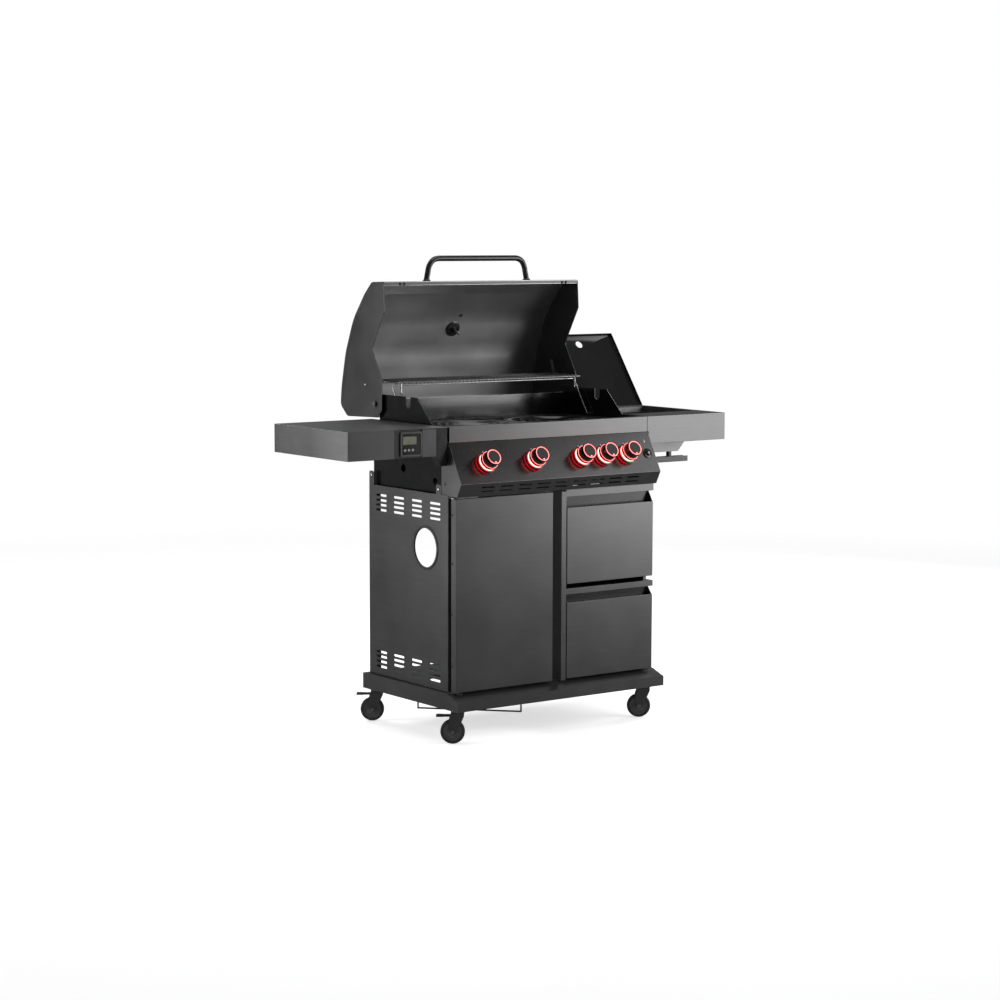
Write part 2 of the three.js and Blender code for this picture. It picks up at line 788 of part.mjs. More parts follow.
// ---------------------------------------------------------------- lid
// Outline of a side plate as it stands open, from the front lip over the back to the pivot.
const LID_BACK = [
  [160.5, 1315],
  [222, 1313],
  [262, 1276],
  [322, 1202],
  [366, 1100],
  [389, 997],
  [395, 942],
  [357, 909],
  [199, 914],
];
const LID_OUTLINE = [...LID_BACK, [193, 914], [170, 936], [169, 1028], [222, 1115], [155, 1229]];

// The upper pivot of the rack: with the other three it makes a parallelogram.
const RACK_PIN = [
  LID_PIVOT[0] + RACK_PIVOT[0] - LEG_ROOT[0],
  LID_PIVOT[1] + RACK_PIVOT[1] - LEG_ROOT[1],
];

function lidPlate() {
  const bolt = circle(...LID_PIVOT, 5.7, 12);
  const plate = slab(X, LID_OUTLINE, -LID_X - 1.5, -LID_X + 1.5, [bolt]);
  return join(plate, bar([-LID_X, ...RACK_PIN], [-343, ...RACK_PIN], 3, 10));
}

// Where the thermometer goes through the lid, and the way out through the sheet there.
const DIAL = { x: 10, y: 338, z: 1165, out: [0, 0.918, 0.396] };
const onDial = (d) => [DIAL.x, DIAL.y + DIAL.out[1] * d, DIAL.z + DIAL.out[2] * d];

function lidShell() {
  const reach = LID_X - 1.5 - GAP;
  const skin = slab(X, band(LID_BACK, -SHEET), -reach, reach);
  const lip = block([-reach, reach], [160.5, 162.5], [1305, 1314]);
  return cut(join(skin, lip), bar(onDial(-20), onDial(20), 10.8, 12));
}

const LID_HANDLE = { x: 182, y: 192, r: 8.5, foot: 1316, top: 1381.5 };

function lidHandle() {
  const { x, y, r, foot, top } = LID_HANDLE;
  const corners = [
    [-x - 4, y, foot],
    [-x + 10, y, top],
    [x - 10, y, top],
    [x + 4, y, foot],
  ];
  const bow = wire(corners, r, 36, 8, 28);
  const trim = block([-x - 30, x + 30], [y - 20, y + 20], [foot - 30, foot]);
  return cut(bow, trim);
}

// Dial thermometer through the lid: probe and flange inside, dial outside.
function lidThermometer() {
  return join(
    bar(onDial(-44), onDial(-5), 3, 8),
    bar(onDial(-8), onDial(-3), 22, 16),
    bar(onDial(-4), onDial(2), 10, 10),
    bar(onDial(0.6), onDial(16), 32, 20),
  );
}

piece("lid_shell", lidShell(), POWDER);
piece("lid_left_plate", lidPlate(), PANEL_GREY);
piece("lid_right_plate", mirrorX(lidPlate()), PANEL_GREY);
piece("lid_handle", lidHandle(), PLASTIC);
piece("lid_thermometer", lidThermometer(), STEEL);

// ---------------------------------------------------------------- warming rack
const RACK = { z: 1018, x: 342, front: 125, back: 255, wires: 10 };

function warmingRack() {
  const { z, x, front, back, wires } = RACK;
  const rails = [front, 190, back].map((y) => block([-x, x], [y - 2.5, y + 2.5], [z - 3, z + 2]));
  const span = 322;
  const cross = Array.from({ length: wires + 1 }, (_, i) => {
    const cx = -span + (2 * span * i) / wires;
    return block([cx - 1.5, cx + 1.5], [front, back], [z - 1, z + 2]);
  });
  const feet = [-span, span].map((cx) => bar([cx, front, 986], [cx, front, z], 2.4, 6));
  const [py, pz] = RACK_PIN;
  const hanger = [
    [back - 6, z - 4],
    [back + 6, z - 4],
    [py + 8, pz],
    [py, pz + 8],
    [py - 8, pz],
  ];
  const hangers = [-1, 1].map((side) => {
    const [low, high] = side < 0 ? [-346, -344] : [344, 346];
    const plate = slab(X, hanger, low, high, [circle(py, pz, 3.8, 12)]);
    const neck = bar([side * (x - 2), back, z], [side * 345, back, z], 3, 8);
    return join(plate, neck);
  });
  return join(rails, cross, feet, hangers);
}

piece("warming_rack", warmingRack(), STEEL);

// A bent rod: it lifts the rack at its cross bar and swings in holes in the firebox.
function rackLegs() {
  const half = [
    [352.5, ...LEG_ROOT],
    [338, ...LEG_ROOT],
    [338, ...RACK_PIVOT],
  ];
  const other = half.map(([x, y, z]) => [-x, y, z]).reverse();
  return rod([...half, ...other], 2.4);
}

piece("rack_legs", rackLegs(), STEEL);

// ---------------------------------------------------------------- door
const DOOR = { x: [-363, -17], depth: 23, z: [150, 706] };

// A folded pan, open at the back, with a pin at each end near its left edge.
function door() {
  const [x0, x1] = DOOR.x;
  const [z0, z1] = DOOR.z;
  const back = FACE + DOOR.depth;
  const skin = cut(
    block([x0, x1], [FACE, back], [z0, z1]),
    block([x0 + SHEET, x1 - SHEET], [FACE + SHEET, back + 5], [z0 + SHEET, z1 - SHEET]),
  );
  const [px, py] = DOOR_PIVOT;
  const pins = [
    bar([px, py, z0 - 3.3], [px, py, z0 + 12], 3, 10),
    bar([px, py, z1 - 12], [px, py, z1 + 3.6], 3, 10),
  ];
  return join(skin, pins);
}

piece("door", door(), PANEL_GREY);

// ---------------------------------------------------------------- drawers
const DRAWER = { x: [36, 361], boxX: [47, 351], boxBack: 195, face: 225, side: 190 };
const GRIP = { depth: 25, drop: 8 };

// Front with a finger recess above its face, and an open box behind it.
function drawer(z0, top) {
  const [x0, x1] = DRAWER.x;
  const backOfFront = FACE + GRIP.depth;
  const faceTop = z0 + DRAWER.face;
  const section = [
    [FACE, z0],
    [backOfFront + SHEET, z0],
    [backOfFront + SHEET, top],
    [backOfFront, top],
    [backOfFront, faceTop - GRIP.drop],
    [FACE, faceTop],
  ];
  const hollow = [
    [FACE + SHEET, z0 + SHEET],
    [backOfFront, z0 + SHEET],
    [backOfFront, faceTop - GRIP.drop - SHEET],
    [FACE + SHEET, faceTop - SHEET - 1],
  ];
  const vent = block([x0 + 20, x1 - 20], [backOfFront - 5, backOfFront + 5], [z0 + 6, z0 + 12]);
  const front = cut(slab(X, section, x0, x1), slab(X, hollow, x0 + SHEET, x1 - SHEET), vent);
  const cheek = [
    [FACE, faceTop - 3],
    [backOfFront + 1, faceTop - 12],
    [backOfFront + 1, top],
    [backOfFront - 4, top],
  ];
  const cheeks = [
    slab(X, cheek, x0, x0 + SHEET),
    slab(X, cheek, x1 - SHEET, x1),
  ];
  const [b0, b1] = DRAWER.boxX;
  const boxTop = z0 + 12 + DRAWER.side;
  const box = cut(
    block([b0, b1], [backOfFront + 1, DRAWER.boxBack], [z0 + 12, boxTop]),
    block([b0 + SHEET, b1 - SHEET], [backOfFront, DRAWER.boxBack - SHEET], [z0 + 14, boxTop + 9]),
  );
  return join(front, cheeks, box);
}

piece("upper_drawer", drawer(432, RAILS[0][0] - SHEET), PANEL_GREY);
piece("lower_drawer", drawer(151, RAILS[1][0] - SHEET), PANEL_GREY);

// ---------------------------------------------------------------- casters
// In a caster's own frame the swivel axis is Z and the wheel trails along +X.
const AXLE = [CASTER.trail, CASTER.wheel];

function fork() {
  const plate = (y) => {
    const outline = [
      [-17, 90],
      [-17, 80],
      [AXLE[0] - 9, AXLE[1] - 4],
      [AXLE[0], AXLE[1] - 10],
      [AXLE[0] + 9, AXLE[1] - 4],
      [AXLE[0] + 10, 72],
      [20, 90],
    ];
    return slab(Y, outline, y, y + SHEET);
  };
  const crown = block([-17, 20], [-17, 17], [88, 91]);
  const race = bar([0, 0, 90], [0, 0, 107.5], 20, 16, 22);
  const axle = bar([AXLE[0], -19, AXLE[1]], [AXLE[0], 19, AXLE[1]], 4, 10);
  const nuts = [-1, 1].map((side) =>
    bar([AXLE[0], side * 16, AXLE[1]], [AXLE[0], side * 20.5, AXLE[1]], 7, 6),
  );
  return join(plate(-17), plate(15), crown, race, axle, nuts);
}

function wheel() {
  const half = CASTER.width / 2;
  const r = CASTER.wheel;
  const bore = 4.6;
  const profile = [
    [bore, -half - 1],
    [11, -half - 1],
    [13, -half + 3],
    [25, -half],
    [r - 3, -half],
    [r, -half + 4],
    [r, half - 4],
    [r - 3, half],
    [25, half],
    [13, half - 3],
    [11, half + 1],
    [bore, half + 1],
    [bore, -half - 1],
  ];
  const points = profile.map(([a, b]) => new THREE.Vector2(a, b));
  const turned = new THREE.LatheGeometry(points, 20);
  return solid(turned.translate(AXLE[0], 0, AXLE[1]));
}

const BRAKE = { pivot: [4, 83], reach: 62 };

function brakePedal() {
  const [x, z] = BRAKE.pivot;
  const arm = block([x - 4, 46], [-10, 10], [79, 84]);
  const tread = block([42, BRAKE.reach], [-15, 15], [79, 84]);
  const tip = bar([BRAKE.reach, -15, 81.5], [BRAKE.reach, 15, 81.5], 2.5, 8);
  const stem = bar([x, -14, z], [x, 14, z], 2.5, 8);
  return join(arm, tread, tip, stem);
}

const CORNERS = [
  ["front_left", -CASTER.x, CASTER.front],
  ["front_right", CASTER.x, CASTER.front],
  ["rear_left", -CASTER.x, CASTER.back],
  ["rear_right", CASTER.x, CASTER.back],
];
CORNERS.forEach(([corner, x, y]) => {
  const swivel = new THREE.Group();
  swivel.position.set(x, y, 0);
  swivel.rotation.z = THREE.MathUtils.degToRad(CASTER_HEADING);
  object.add(swivel);
  piece(`${corner}_fork`, fork(), DARK, swivel);
  piece(`${corner}_wheel`, wheel(), RUBBER, swivel);
  if (corner.endsWith("left")) piece(`${corner}_brake`, brakePedal(), PLASTIC, swivel);
});

const root = new THREE.Group();
root.position.set(ORIGIN_SHIFT[0], ORIGIN_SHIFT[1], 0);
root.add(object);

export default root;
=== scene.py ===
import json
import math

import bmesh
import bpy
from mathutils import Matrix, Vector


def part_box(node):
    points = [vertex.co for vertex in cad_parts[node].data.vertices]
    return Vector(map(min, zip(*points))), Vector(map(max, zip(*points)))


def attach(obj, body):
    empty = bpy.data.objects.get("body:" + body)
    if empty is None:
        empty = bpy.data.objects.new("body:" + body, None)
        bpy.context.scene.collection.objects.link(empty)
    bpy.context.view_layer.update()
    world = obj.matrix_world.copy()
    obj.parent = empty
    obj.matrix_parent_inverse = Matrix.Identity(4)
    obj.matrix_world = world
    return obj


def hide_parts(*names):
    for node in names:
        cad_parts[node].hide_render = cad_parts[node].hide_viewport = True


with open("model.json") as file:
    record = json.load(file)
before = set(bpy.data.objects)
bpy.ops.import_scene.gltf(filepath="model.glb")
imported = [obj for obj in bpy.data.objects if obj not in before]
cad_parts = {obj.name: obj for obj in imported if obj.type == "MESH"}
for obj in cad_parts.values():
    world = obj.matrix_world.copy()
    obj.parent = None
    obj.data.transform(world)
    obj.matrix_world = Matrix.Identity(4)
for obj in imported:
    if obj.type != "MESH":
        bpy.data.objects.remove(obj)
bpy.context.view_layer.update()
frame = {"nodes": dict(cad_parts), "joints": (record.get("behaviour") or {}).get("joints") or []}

# ------------------------------------------------------------------ places
JOINTS = {joint["name"]: joint for joint in frame["joints"]}
BASE_LOW, BASE_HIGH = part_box("base_tray")
MIDDLE = (BASE_LOW + BASE_HIGH) / 2
MM = 0.001


def at(x, y, z):
    """A point in millimetres about the middle of the base, as a point of the frame."""
    return Vector((MIDDLE.x + x * MM, MIDDLE.y + y * MM, z * MM))


def pivot(joint):
    return Vector(JOINTS[joint]["pos_m"])


def axis_of(joint):
    return Vector(JOINTS[joint]["axis"]).normalized()


# ------------------------------------------------------------------ material nodes
def new_material(name):
    material = bpy.data.materials.new(name)
    material.use_nodes = True
    tree = material.node_tree
    shader = tree.nodes["Principled BSDF"]
    coords = tree.nodes.new("ShaderNodeTexCoord").outputs["Object"]
    return material, tree, shader, coords


def noise(tree, coords, scale, detail=4.0, stretch=(1, 1, 1)):
    mapping = tree.nodes.new("ShaderNodeMapping")
    mapping.inputs["Scale"].default_value = stretch
    texture = tree.nodes.new("ShaderNodeTexNoise")
    texture.inputs["Scale"].default_value = scale
    texture.inputs["Detail"].default_value = detail
    texture.inputs["Roughness"].default_value = 0.55
    tree.links.new(coords, mapping.inputs["Vector"])
    tree.links.new(mapping.outputs["Vector"], texture.inputs["Vector"])
    return texture.outputs["Fac"]


def spread(tree, value, low, high, start=0.3, end=0.7):
    remap = tree.nodes.new("ShaderNodeMapRange")
    remap.inputs["From Min"].default_value = start
    remap.inputs["From Max"].default_value = end
    remap.inputs["To Min"].default_value = low
    remap.inputs["To Max"].default_value = high
    tree.links.new(value, remap.inputs["Value"])
    return remap.outputs["Result"]


def blend_colours(tree, value, first, second):
    ramp = tree.nodes.new("ShaderNodeValToRGB")
    ramp.color_ramp.elements[0].position = 0.3
    ramp.color_ramp.elements[1].position = 0.7
    ramp.color_ramp.elements[0].color = (*first, 1)
    ramp.color_ramp.elements[1].color = (*second, 1)
    tree.links.new(value, ramp.inputs["Fac"])
    return ramp.outputs["Color"]


def add_bump(tree, shader, height, strength, distance):
    bump = tree.nodes.new("ShaderNodeBump")
    bump.inputs["Strength"].default_value = strength
    bump.inputs["Distance"].default_value = distance
    tree.links.new(height, bump.inputs["Height"])
    tree.links.new(bump.outputs["Normal"], shader.inputs["Normal"])


def grey(level, warmth=0.0):
    return (level * (1 + warmth), level, level * (1 - warmth))


def coated_metal(name, colours, metallic, rough, grain, bump, brushed=None):
    """Sheet metal with a thin coat: cloudy tone, uneven gloss and a fine grain."""
    material, tree, shader, coords = new_material(name)
    clouds = noise(tree, coords, 7.0, 5.0)
    tone = clouds
    if brushed:
        lines = noise(tree, coords, 1.0, 3.0, brushed)
        mix = tree.nodes.new("ShaderNodeMix")
        mix.inputs["Factor"].default_value = 0.55
        tree.links.new(clouds, mix.inputs["A"])
        tree.links.new(lines, mix.inputs["B"])
        tone = mix.outputs["Result"]
    colour = blend_colours(tree, tone, *colours)
    tree.links.new(colour, shader.inputs["Base Color"])
    tree.links.new(spread(tree, tone, *rough), shader.inputs["Roughness"])
    shader.inputs["Metallic"].default_value = metallic
    add_bump(tree, shader, noise(tree, coords, grain, 2.0), bump, 0.0004)
    return material


def enamel_black():
    """Glossy vitreous enamel with an orange-peel surface and pale specks."""
    material, tree, shader, coords = new_material("enamel_black")
    specks = noise(tree, coords, 420, 2.0)
    tree.links.new(
        blend_colours(tree, spread(tree, specks, 0, 1, 0.66, 0.74), grey(0.006), grey(0.07)),
        shader.inputs["Base Color"],
    )
    clouds = noise(tree, coords, 30, 3.0)
    tree.links.new(spread(tree, clouds, 0.1, 0.2), shader.inputs["Roughness"])
    shader.inputs["Coat Weight"].default_value = 0.3
    shader.inputs["Coat Roughness"].default_value = 0.1
    add_bump(tree, shader, noise(tree, coords, 190, 2.0), 0.4, 0.0008)
    return material


def cast_black():
    """Cast iron under matt enamel: pitted and slightly brown where it is worn."""
    material, tree, shader, coords = new_material("cast_black")
    pits = noise(tree, coords, 320, 5.0)
    colour = blend_colours(tree, noise(tree, coords, 40, 4.0), grey(0.012), grey(0.03, 0.05))
    tree.links.new(colour, shader.inputs["Base Color"])
    tree.links.new(spread(tree, pits, 0.35, 0.6), shader.inputs["Roughness"])
    add_bump(tree, shader, pits, 0.5, 0.0008)
    return material


def bare_metal(name, colours, rough, stretch):
    material, tree, shader, coords = new_material(name)
    lines = noise(tree, coords, 1.0, 4.0, stretch)
    tree.links.new(blend_colours(tree, lines, *colours), shader.inputs["Base Color"])
    tree.links.new(spread(tree, lines, *rough), shader.inputs["Roughness"])
    shader.inputs["Metallic"].default_value = 1.0
    add_bump(tree, shader, lines, 0.1, 0.0002)
    return material


def moulded(name, level, rough, grain=900, bump=0.15):
    """Moulded plastic or rubber: fine grain and a slightly uneven gloss."""
    material, tree, shader, coords = new_material(name)
    clouds = noise(tree, coords, 25, 3.0)
    colour = blend_colours(tree, clouds, grey(level * 0.85), grey(level * 1.2))
    tree.links.new(colour, shader.inputs["Base Color"])
    tree.links.new(spread(tree, clouds, *rough), shader.inputs["Roughness"])
    add_bump(tree, shader, noise(tree, coords, grain, 2.0), bump, 0.0004)
    return material


def glowing(name, colour, strength):
    """A lit ring: the light through it is slightly uneven."""
    material, tree, shader, coords = new_material(name)
    shader.inputs["Base Color"].default_value = (*colour, 1)
    shader.inputs["Emission Color"].default_value = (*colour, 1)
    uneven = noise(tree, coords, 90, 1.0)
    tree.links.new(
        spread(tree, uneven, strength * 0.8, strength * 1.2), shader.inputs["Emission Strength"]
    )
    return material


def display_glass():
    material, tree, shader, coords = new_material("display_glass")
    shade = noise(tree, coords, 60, 2.0)
    tree.links.new(
        blend_colours(tree, shade, (0.16, 0.17, 0.12), (0.22, 0.23, 0.17)),
        shader.inputs["Base Color"],
    )
    tree.links.new(spread(tree, shade, 0.12, 0.2), shader.inputs["Roughness"])
    shader.inputs["Coat Weight"].default_value = 0.5
    return material


FINE_BRUSHING = (7, 7, 1100)
CROSS_BRUSHING = (6, 200, 200)
LONG_BRUSHING = (60, 9, 60)
EVEN_GRAIN = (300, 300, 300)
WIDE_GRAIN = (30, 30, 30)

PANEL = coated_metal(
    "coat_panel_grey", (grey(0.095), grey(0.135)), 0.85, (0.31, 0.38), 900, 0.05, FINE_BRUSHING
)
POWDER = coated_metal(
    "coat_powder_black", (grey(0.07), grey(0.09)), 0.7, (0.32, 0.4), 1500, 0.1
)
# A dark coat; the same material is also painted on the backs of the drawer recesses as shade.
DARK = coated_metal(
    "coat_panel_dark_and_recess_shade", (grey(0.008), grey(0.012)), 0.2, (0.24, 0.3), 1500, 0.06
)
LID_SKIN = coated_metal(
    "coat_lid_skin", (grey(0.48), grey(0.58)), 0.9, (0.34, 0.4), 1100, 0.03
)
ENAMEL = enamel_black()
CAST = cast_black()
STEEL = bare_metal("burner_steel", (grey(0.28), grey(0.42, 0.05)), (0.3, 0.45), LONG_BRUSHING)
CHROME = bare_metal("wire_chrome", (grey(0.3), grey(0.42)), (0.2, 0.3), EVEN_GRAIN)
WIRE = bare_metal("rack_wire", (grey(0.14), grey(0.22)), (0.2, 0.3), EVEN_GRAIN)
PAN = bare_metal("pan_light", (grey(0.2), grey(0.27)), (0.45, 0.55), WIDE_GRAIN)
CHANNEL = bare_metal("channel_grey", (grey(0.07), grey(0.1)), (0.4, 0.5), CROSS_BRUSHING)
GLOSS_BLACK = moulded("plastic_gloss_black", 0.012, (0.18, 0.28), 500, 0.05)
PLASTIC = moulded("plastic_black", 0.014, (0.36, 0.5))
KNOB = moulded("knob_black", 0.01, (0.22, 0.34), 700, 0.08)
KNOB_FACE = moulded("knob_face", 0.012, (0.5, 0.65), 380, 0.7)
RUBBER = moulded("tyre_black", 0.02, (0.55, 0.7), 600, 0.3)
HUB = moulded("hub_grey", 0.06, (0.4, 0.5))
BUTTON = moulded("button_light", 0.3, (0.4, 0.5))
MARK = moulded("panel_mark", 0.7, (0.45, 0.55))
NEEDLE = moulded("needle_pale", 0.2, (0.4, 0.5))
NEEDLE.node_tree.nodes["Principled BSDF"].inputs["Specular IOR Level"].default_value = 0.4
GLOW = glowing("ring_light", (1.0, 0.14, 0.12), 10.0)
GLOW_RED = glowing("ring_light_red", (1.0, 0.0, 0.015), 17.0)
GLOW_THIN = glowing("ring_light_thin", (1.0, 0.2, 0.19), 3.0)
GLOW_DIM = glowing("ring_light_dim", (1.0, 0.02, 0.03), 1.0)
DISPLAY = display_glass()


# ------------------------------------------------------------------ outlines
def circle(a, b, radius, sides=32, start=0.0, sweep=2 * math.pi):
    closed = abs(sweep - 2 * math.pi) < 1e-6
    steps = sides if closed else sides + 1
    return [
        (
            a + radius * math.cos(start + sweep * i / sides),
            b + radius * math.sin(start + sweep * i / sides),
        )
        for i in range(steps)
    ]


def rectangle(a0, a1, b0, b1):
    return [(a0, b0), (a1, b0), (a1, b1), (a0, b1)]


def rounded(points, radius, steps=5, closed=True):
    """The outline with its corners turned on a radius, or on one radius for each corner."""
    count = len(points)
    radii = radius if isinstance(radius, (list, tuple)) else [radius] * count
    made = []
    for i, point in enumerate(points):
        ends = not closed and i in (0, count - 1)
        if ends or radii[i] <= 0:
            made.append(tuple(point))
            continue
        here = Vector(point)
        before = Vector(points[i - 1]) - here
        after = Vector(points[(i + 1) % count]) - here
        half = before.angle(after) / 2
        reach = min(radii[i] / math.tan(half), before.length * 0.49, after.length * 0.49)
        start = here + before.normalized() * reach
        end = here + after.normalized() * reach
        for k in range(steps + 1):
            t = k / steps
            spot = start * (1 - t) ** 2 + here * 2 * t * (1 - t) + end * t**2
            made.append(tuple(spot))
    return made


def stadium(a0, a1, b, half):
    """A slot with round ends along the first axis."""
    return circle(a1 - half, b, half, 8, -math.pi / 2, math.pi) + circle(
        a0 + half, b, half, 8, math.pi / 2, math.pi
    )


def beside(line, distance):
    """The open line moved sideways by a distance."""
    points = [Vector(point) for point in line]
    made = []
    for i, point in enumerate(points):
        into = (point - points[i - 1]) if i else (points[1] - point)
        out = (points[i + 1] - point) if i < len(points) - 1 else into
        into, out = into.normalized(), out.normalized()
        normal = Vector((-into.y - out.y, into.x + out.x)).normalized()
        miter = distance / max(0.4, normal.dot(Vector((-into.y, into.x))))
        made.append(tuple(point + normal * miter))
    return made


def strip(line, thickness):
    return list(line) + beside(line, thickness)[::-1]


# ------------------------------------------------------------------ solids, in millimetres
AXES = {
    "x": Matrix(((0, 0, 1, 0), (1, 0, 0, 0), (0, 1, 0, 0), (0, 0, 0, 1))),
    "y": Matrix(((1, 0, 0, 0), (0, 0, 1, 0), (0, 1, 0, 0), (0, 0, 0, 1))),
    "z": Matrix.Identity(4),
}


def frame_on(origin, direction, turn=0.0):
    """A matrix that takes Z to a direction and the origin to a point."""
    spin = Matrix.Rotation(turn, 4, "Z")
    return (
        Matrix.Translation(Vector(origin))
        @ Vector(direction).to_track_quat("Z", "Y").to_matrix().to_4x4()
        @ spin
    )


def plate(outline, low, high, axis="z", holes=(), edge=0.5):
    """A plate between two heights along an axis, with holes and rounded edges."""
    curve = bpy.data.curves.new("outline", "CURVE")
    curve.dimensions = "2D"
    curve.fill_mode = "BOTH"
    curve.extrude = (high - low) / 2 - edge
    curve.bevel_depth = edge
    curve.bevel_resolution = 1 if edge else 0
    curve.offset = -edge
    for loop in (outline, *holes):
        spline = curve.splines.new("POLY")
        spline.points.add(len(loop) - 1)
        for point, (a, b) in zip(spline.points, loop):
            point.co = (a, b, 0, 1)
        spline.use_cyclic_u = True
    holder = bpy.data.objects.new("outline", curve)
    bpy.context.scene.collection.objects.link(holder)
    ready = holder.evaluated_get(bpy.context.evaluated_depsgraph_get())
    mesh = bpy.data.meshes.new_from_object(ready)
    bpy.data.objects.remove(holder)
    bpy.data.curves.remove(curve)
    body = bmesh.new()
    body.from_mesh(mesh)
    bpy.data.meshes.remove(mesh)
    body.transform(AXES[axis] @ Matrix.Translation((0, 0, (high + low) / 2)))
    bmesh.ops.remove_doubles(body, verts=body.verts, dist=0.001)
    bmesh.ops.recalc_face_normals(body, faces=body.faces)
    return body


def block(x, y, z, edge=0.5, segments=2):
    """A box between two X, two Y and two Z, with rounded edges."""
    body = bmesh.new()
    bmesh.ops.create_cube(body, size=1)
    size = Vector((x[1] - x[0], y[1] - y[0], z[1] - z[0]))
    middle = Vector((x[0] + x[1], y[0] + y[1], z[0] + z[1])) / 2
    body.transform(Matrix.Translation(middle) @ Matrix.Diagonal((*size, 1)))
    if edge:
        bmesh.ops.bevel(
            body, geom=body.edges[:], offset=edge, segments=segments, affect="EDGES", profile=0.6
        )
    return body


def lathe(profile, sides=40):
    """A closed solid turned about Z from (radius, height) points, from bottom to top."""
    body = bmesh.new()
    rings = []
    closed = tuple(profile[0]) == tuple(profile[-1])
    for radius, height in profile[: -1 if closed else None]:
        if radius < 1e-6:
            rings.append([body.verts.new((0, 0, height))])
            continue
        rings.append(
            [body.verts.new((a, b, height)) for a, b in circle(0, 0, radius, sides)]
        )
    pairs = list(zip(rings, rings[1:]))
    if closed:
        pairs.append((rings[-1], rings[0]))
    for lower, upper in pairs:
        for i in range(sides):
            j = (i + 1) % sides
            corners = []
            for ring, order in ((lower, (i, j)), (upper, (j, i))):
                corners += [ring[0]] if len(ring) == 1 else [ring[k] for k in order]
            if len(corners) > 2:
                body.faces.new(corners)
    for ring in () if closed else (rings[0], rings[-1]):
        if len(ring) > 1:
            body.faces.new(ring)
    bmesh.ops.recalc_face_normals(body, faces=body.faces)
    return body


def hoop(radius, height, wire, sides=48, around=10):
    """A ring of round wire about Z."""
    body = bmesh.new()
    rings = []
    for i in range(sides):
        angle = 2 * math.pi * i / sides
        rings.append(
            [
                body.verts.new((r * math.cos(angle), r * math.sin(angle), height + z))
                for r, z in ((radius + a, b) for a, b in circle(0, 0, wire, around))
            ]
        )
    for i, ring in enumerate(rings):
        after = rings[(i + 1) % sides]
        for k in range(around):
            m = (k + 1) % around
            body.faces.new((ring[k], after[k], after[m], ring[m]))
    bmesh.ops.recalc_face_normals(body, faces=body.faces)
    return body


def rod(points, radius, bend=0.0, around=12, steps=6):
    """A round rod along points, its corners turned on a radius."""
    path = [Vector(point) for point in points]
    if bend:
        turned = [path[0]]
        for before, here, after in zip(path, path[1:], path[2:]):
            reach = min(bend, (before - here).length * 0.49, (after - here).length * 0.49)
            start = here + (before - here).normalized() * reach
            end = here + (after - here).normalized() * reach
            for k in range(steps + 1):
                t = k / steps
                turned.append(start * (1 - t) ** 2 + here * 2 * t * (1 - t) + end * t**2)
        path = [*turned, path[-1]]
    body = bmesh.new()
    rings = []
    side = None
    for i, point in enumerate(path):
        into = (point - path[i - 1]) if i else (path[1] - point)
        out = (path[i + 1] - point) if i < len(path) - 1 else into
        along = (into.normalized() + out.normalized()).normalized()
        if side is None:
            side = along.orthogonal().normalized()
        side = (side - along * side.dot(along)).normalized()
        other = along.cross(side)
        rings.append(
            [body.verts.new(point + side * a + other * b) for a, b in circle(0, 0, radius, around)]
        )
    for ring, after in zip(rings, rings[1:]):
        for k in range(around):
            m = (k + 1) % around
            body.faces.new((ring[k], after[k], after[m], ring[m]))
    body.faces.new(rings[0])
    body.faces.new(rings[-1])
    bmesh.ops.recalc_face_normals(body, faces=body.faces)
    return body


def moved(body, matrix):
    body.transform(matrix)
    return body


# The matrix from millimetres about the middle of the base to the frame.
TO_FRAME = Matrix.Translation(at(0, 0, 0)) @ Matrix.Scale(MM, 4)


def make(name, body, parts, replaces=(), matrix=TO_FRAME, sharp=32):
    """One piece from (solid, material) parts, placed by a matrix, riding on a body."""
    mesh = bpy.data.meshes.new(name)
    whole = bmesh.new()
    materials = []
    for solid, material in parts:
        if material not in materials:
            materials.append(material)
        for face in solid.faces:
            face.material_index = materials.index(material)
        part = bpy.data.meshes.new("part")
        solid.to_mesh(part)
        solid.free()
        whole.from_mesh(part)
        bpy.data.meshes.remove(part)
    whole.transform(matrix)
    whole.to_mesh(mesh)
    whole.free()
    for material in materials:
        mesh.materials.append(material)
    mesh.polygons.foreach_set("use_smooth", [True] * len(mesh.polygons))
    mesh.set_sharp_from_angle(angle=math.radians(sharp))
    piece = bpy.data.objects.new(name, mesh)
    bpy.context.scene.collection.objects.link(piece)
    even = piece.modifiers.new("even", "WEIGHTED_NORMAL")
    even.keep_sharp = True
    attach(piece, body)
    if replaces:
        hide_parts(*replaces)


# ------------------------------------------------------------------ kept nodes
KEPT = {
    POWDER: ("base_tray",),
    DARK: ("side_burner_lid",),
    PANEL: (
        "drawer_frame",
        "front_trim",
        "left_shelf",
        "right_shelf",
        "door",
        "upper_drawer",
        "lower_drawer",
    ),
    ENAMEL: ("firebox", "firebox_left_wall", "firebox_right_wall"),
    STEEL: (
        "grease_tray",
        "gas_manifold",
        *(f"flame_tamer_{i}" for i in range(1, 5)),
    ),
    CAST: ("left_grate", "right_grate", "side_burner_grate"),
    GLOSS_BLACK: ("corner_cover",),
}
EDGE_WIDTH = 0.7 * MM

for kept_material, names in KEPT.items():
    for kept in names:
        node = frame["nodes"][kept]
        node.data.materials.clear()
        node.data.materials.append(kept_material)
        weld = node.modifiers.new("weld", "WELD")
        weld.merge_threshold = 0.00001
        flat = node.modifiers.new("flat", "DECIMATE")
        flat.decimate_type = "DISSOLVE"
        flat.angle_limit = math.radians(0.5)
        edge = node.modifiers.new("edge", "BEVEL")
        edge.width = EDGE_WIDTH
        edge.segments = 2
        edge.limit_method = "ANGLE"
        edge.angle_limit = math.radians(40)


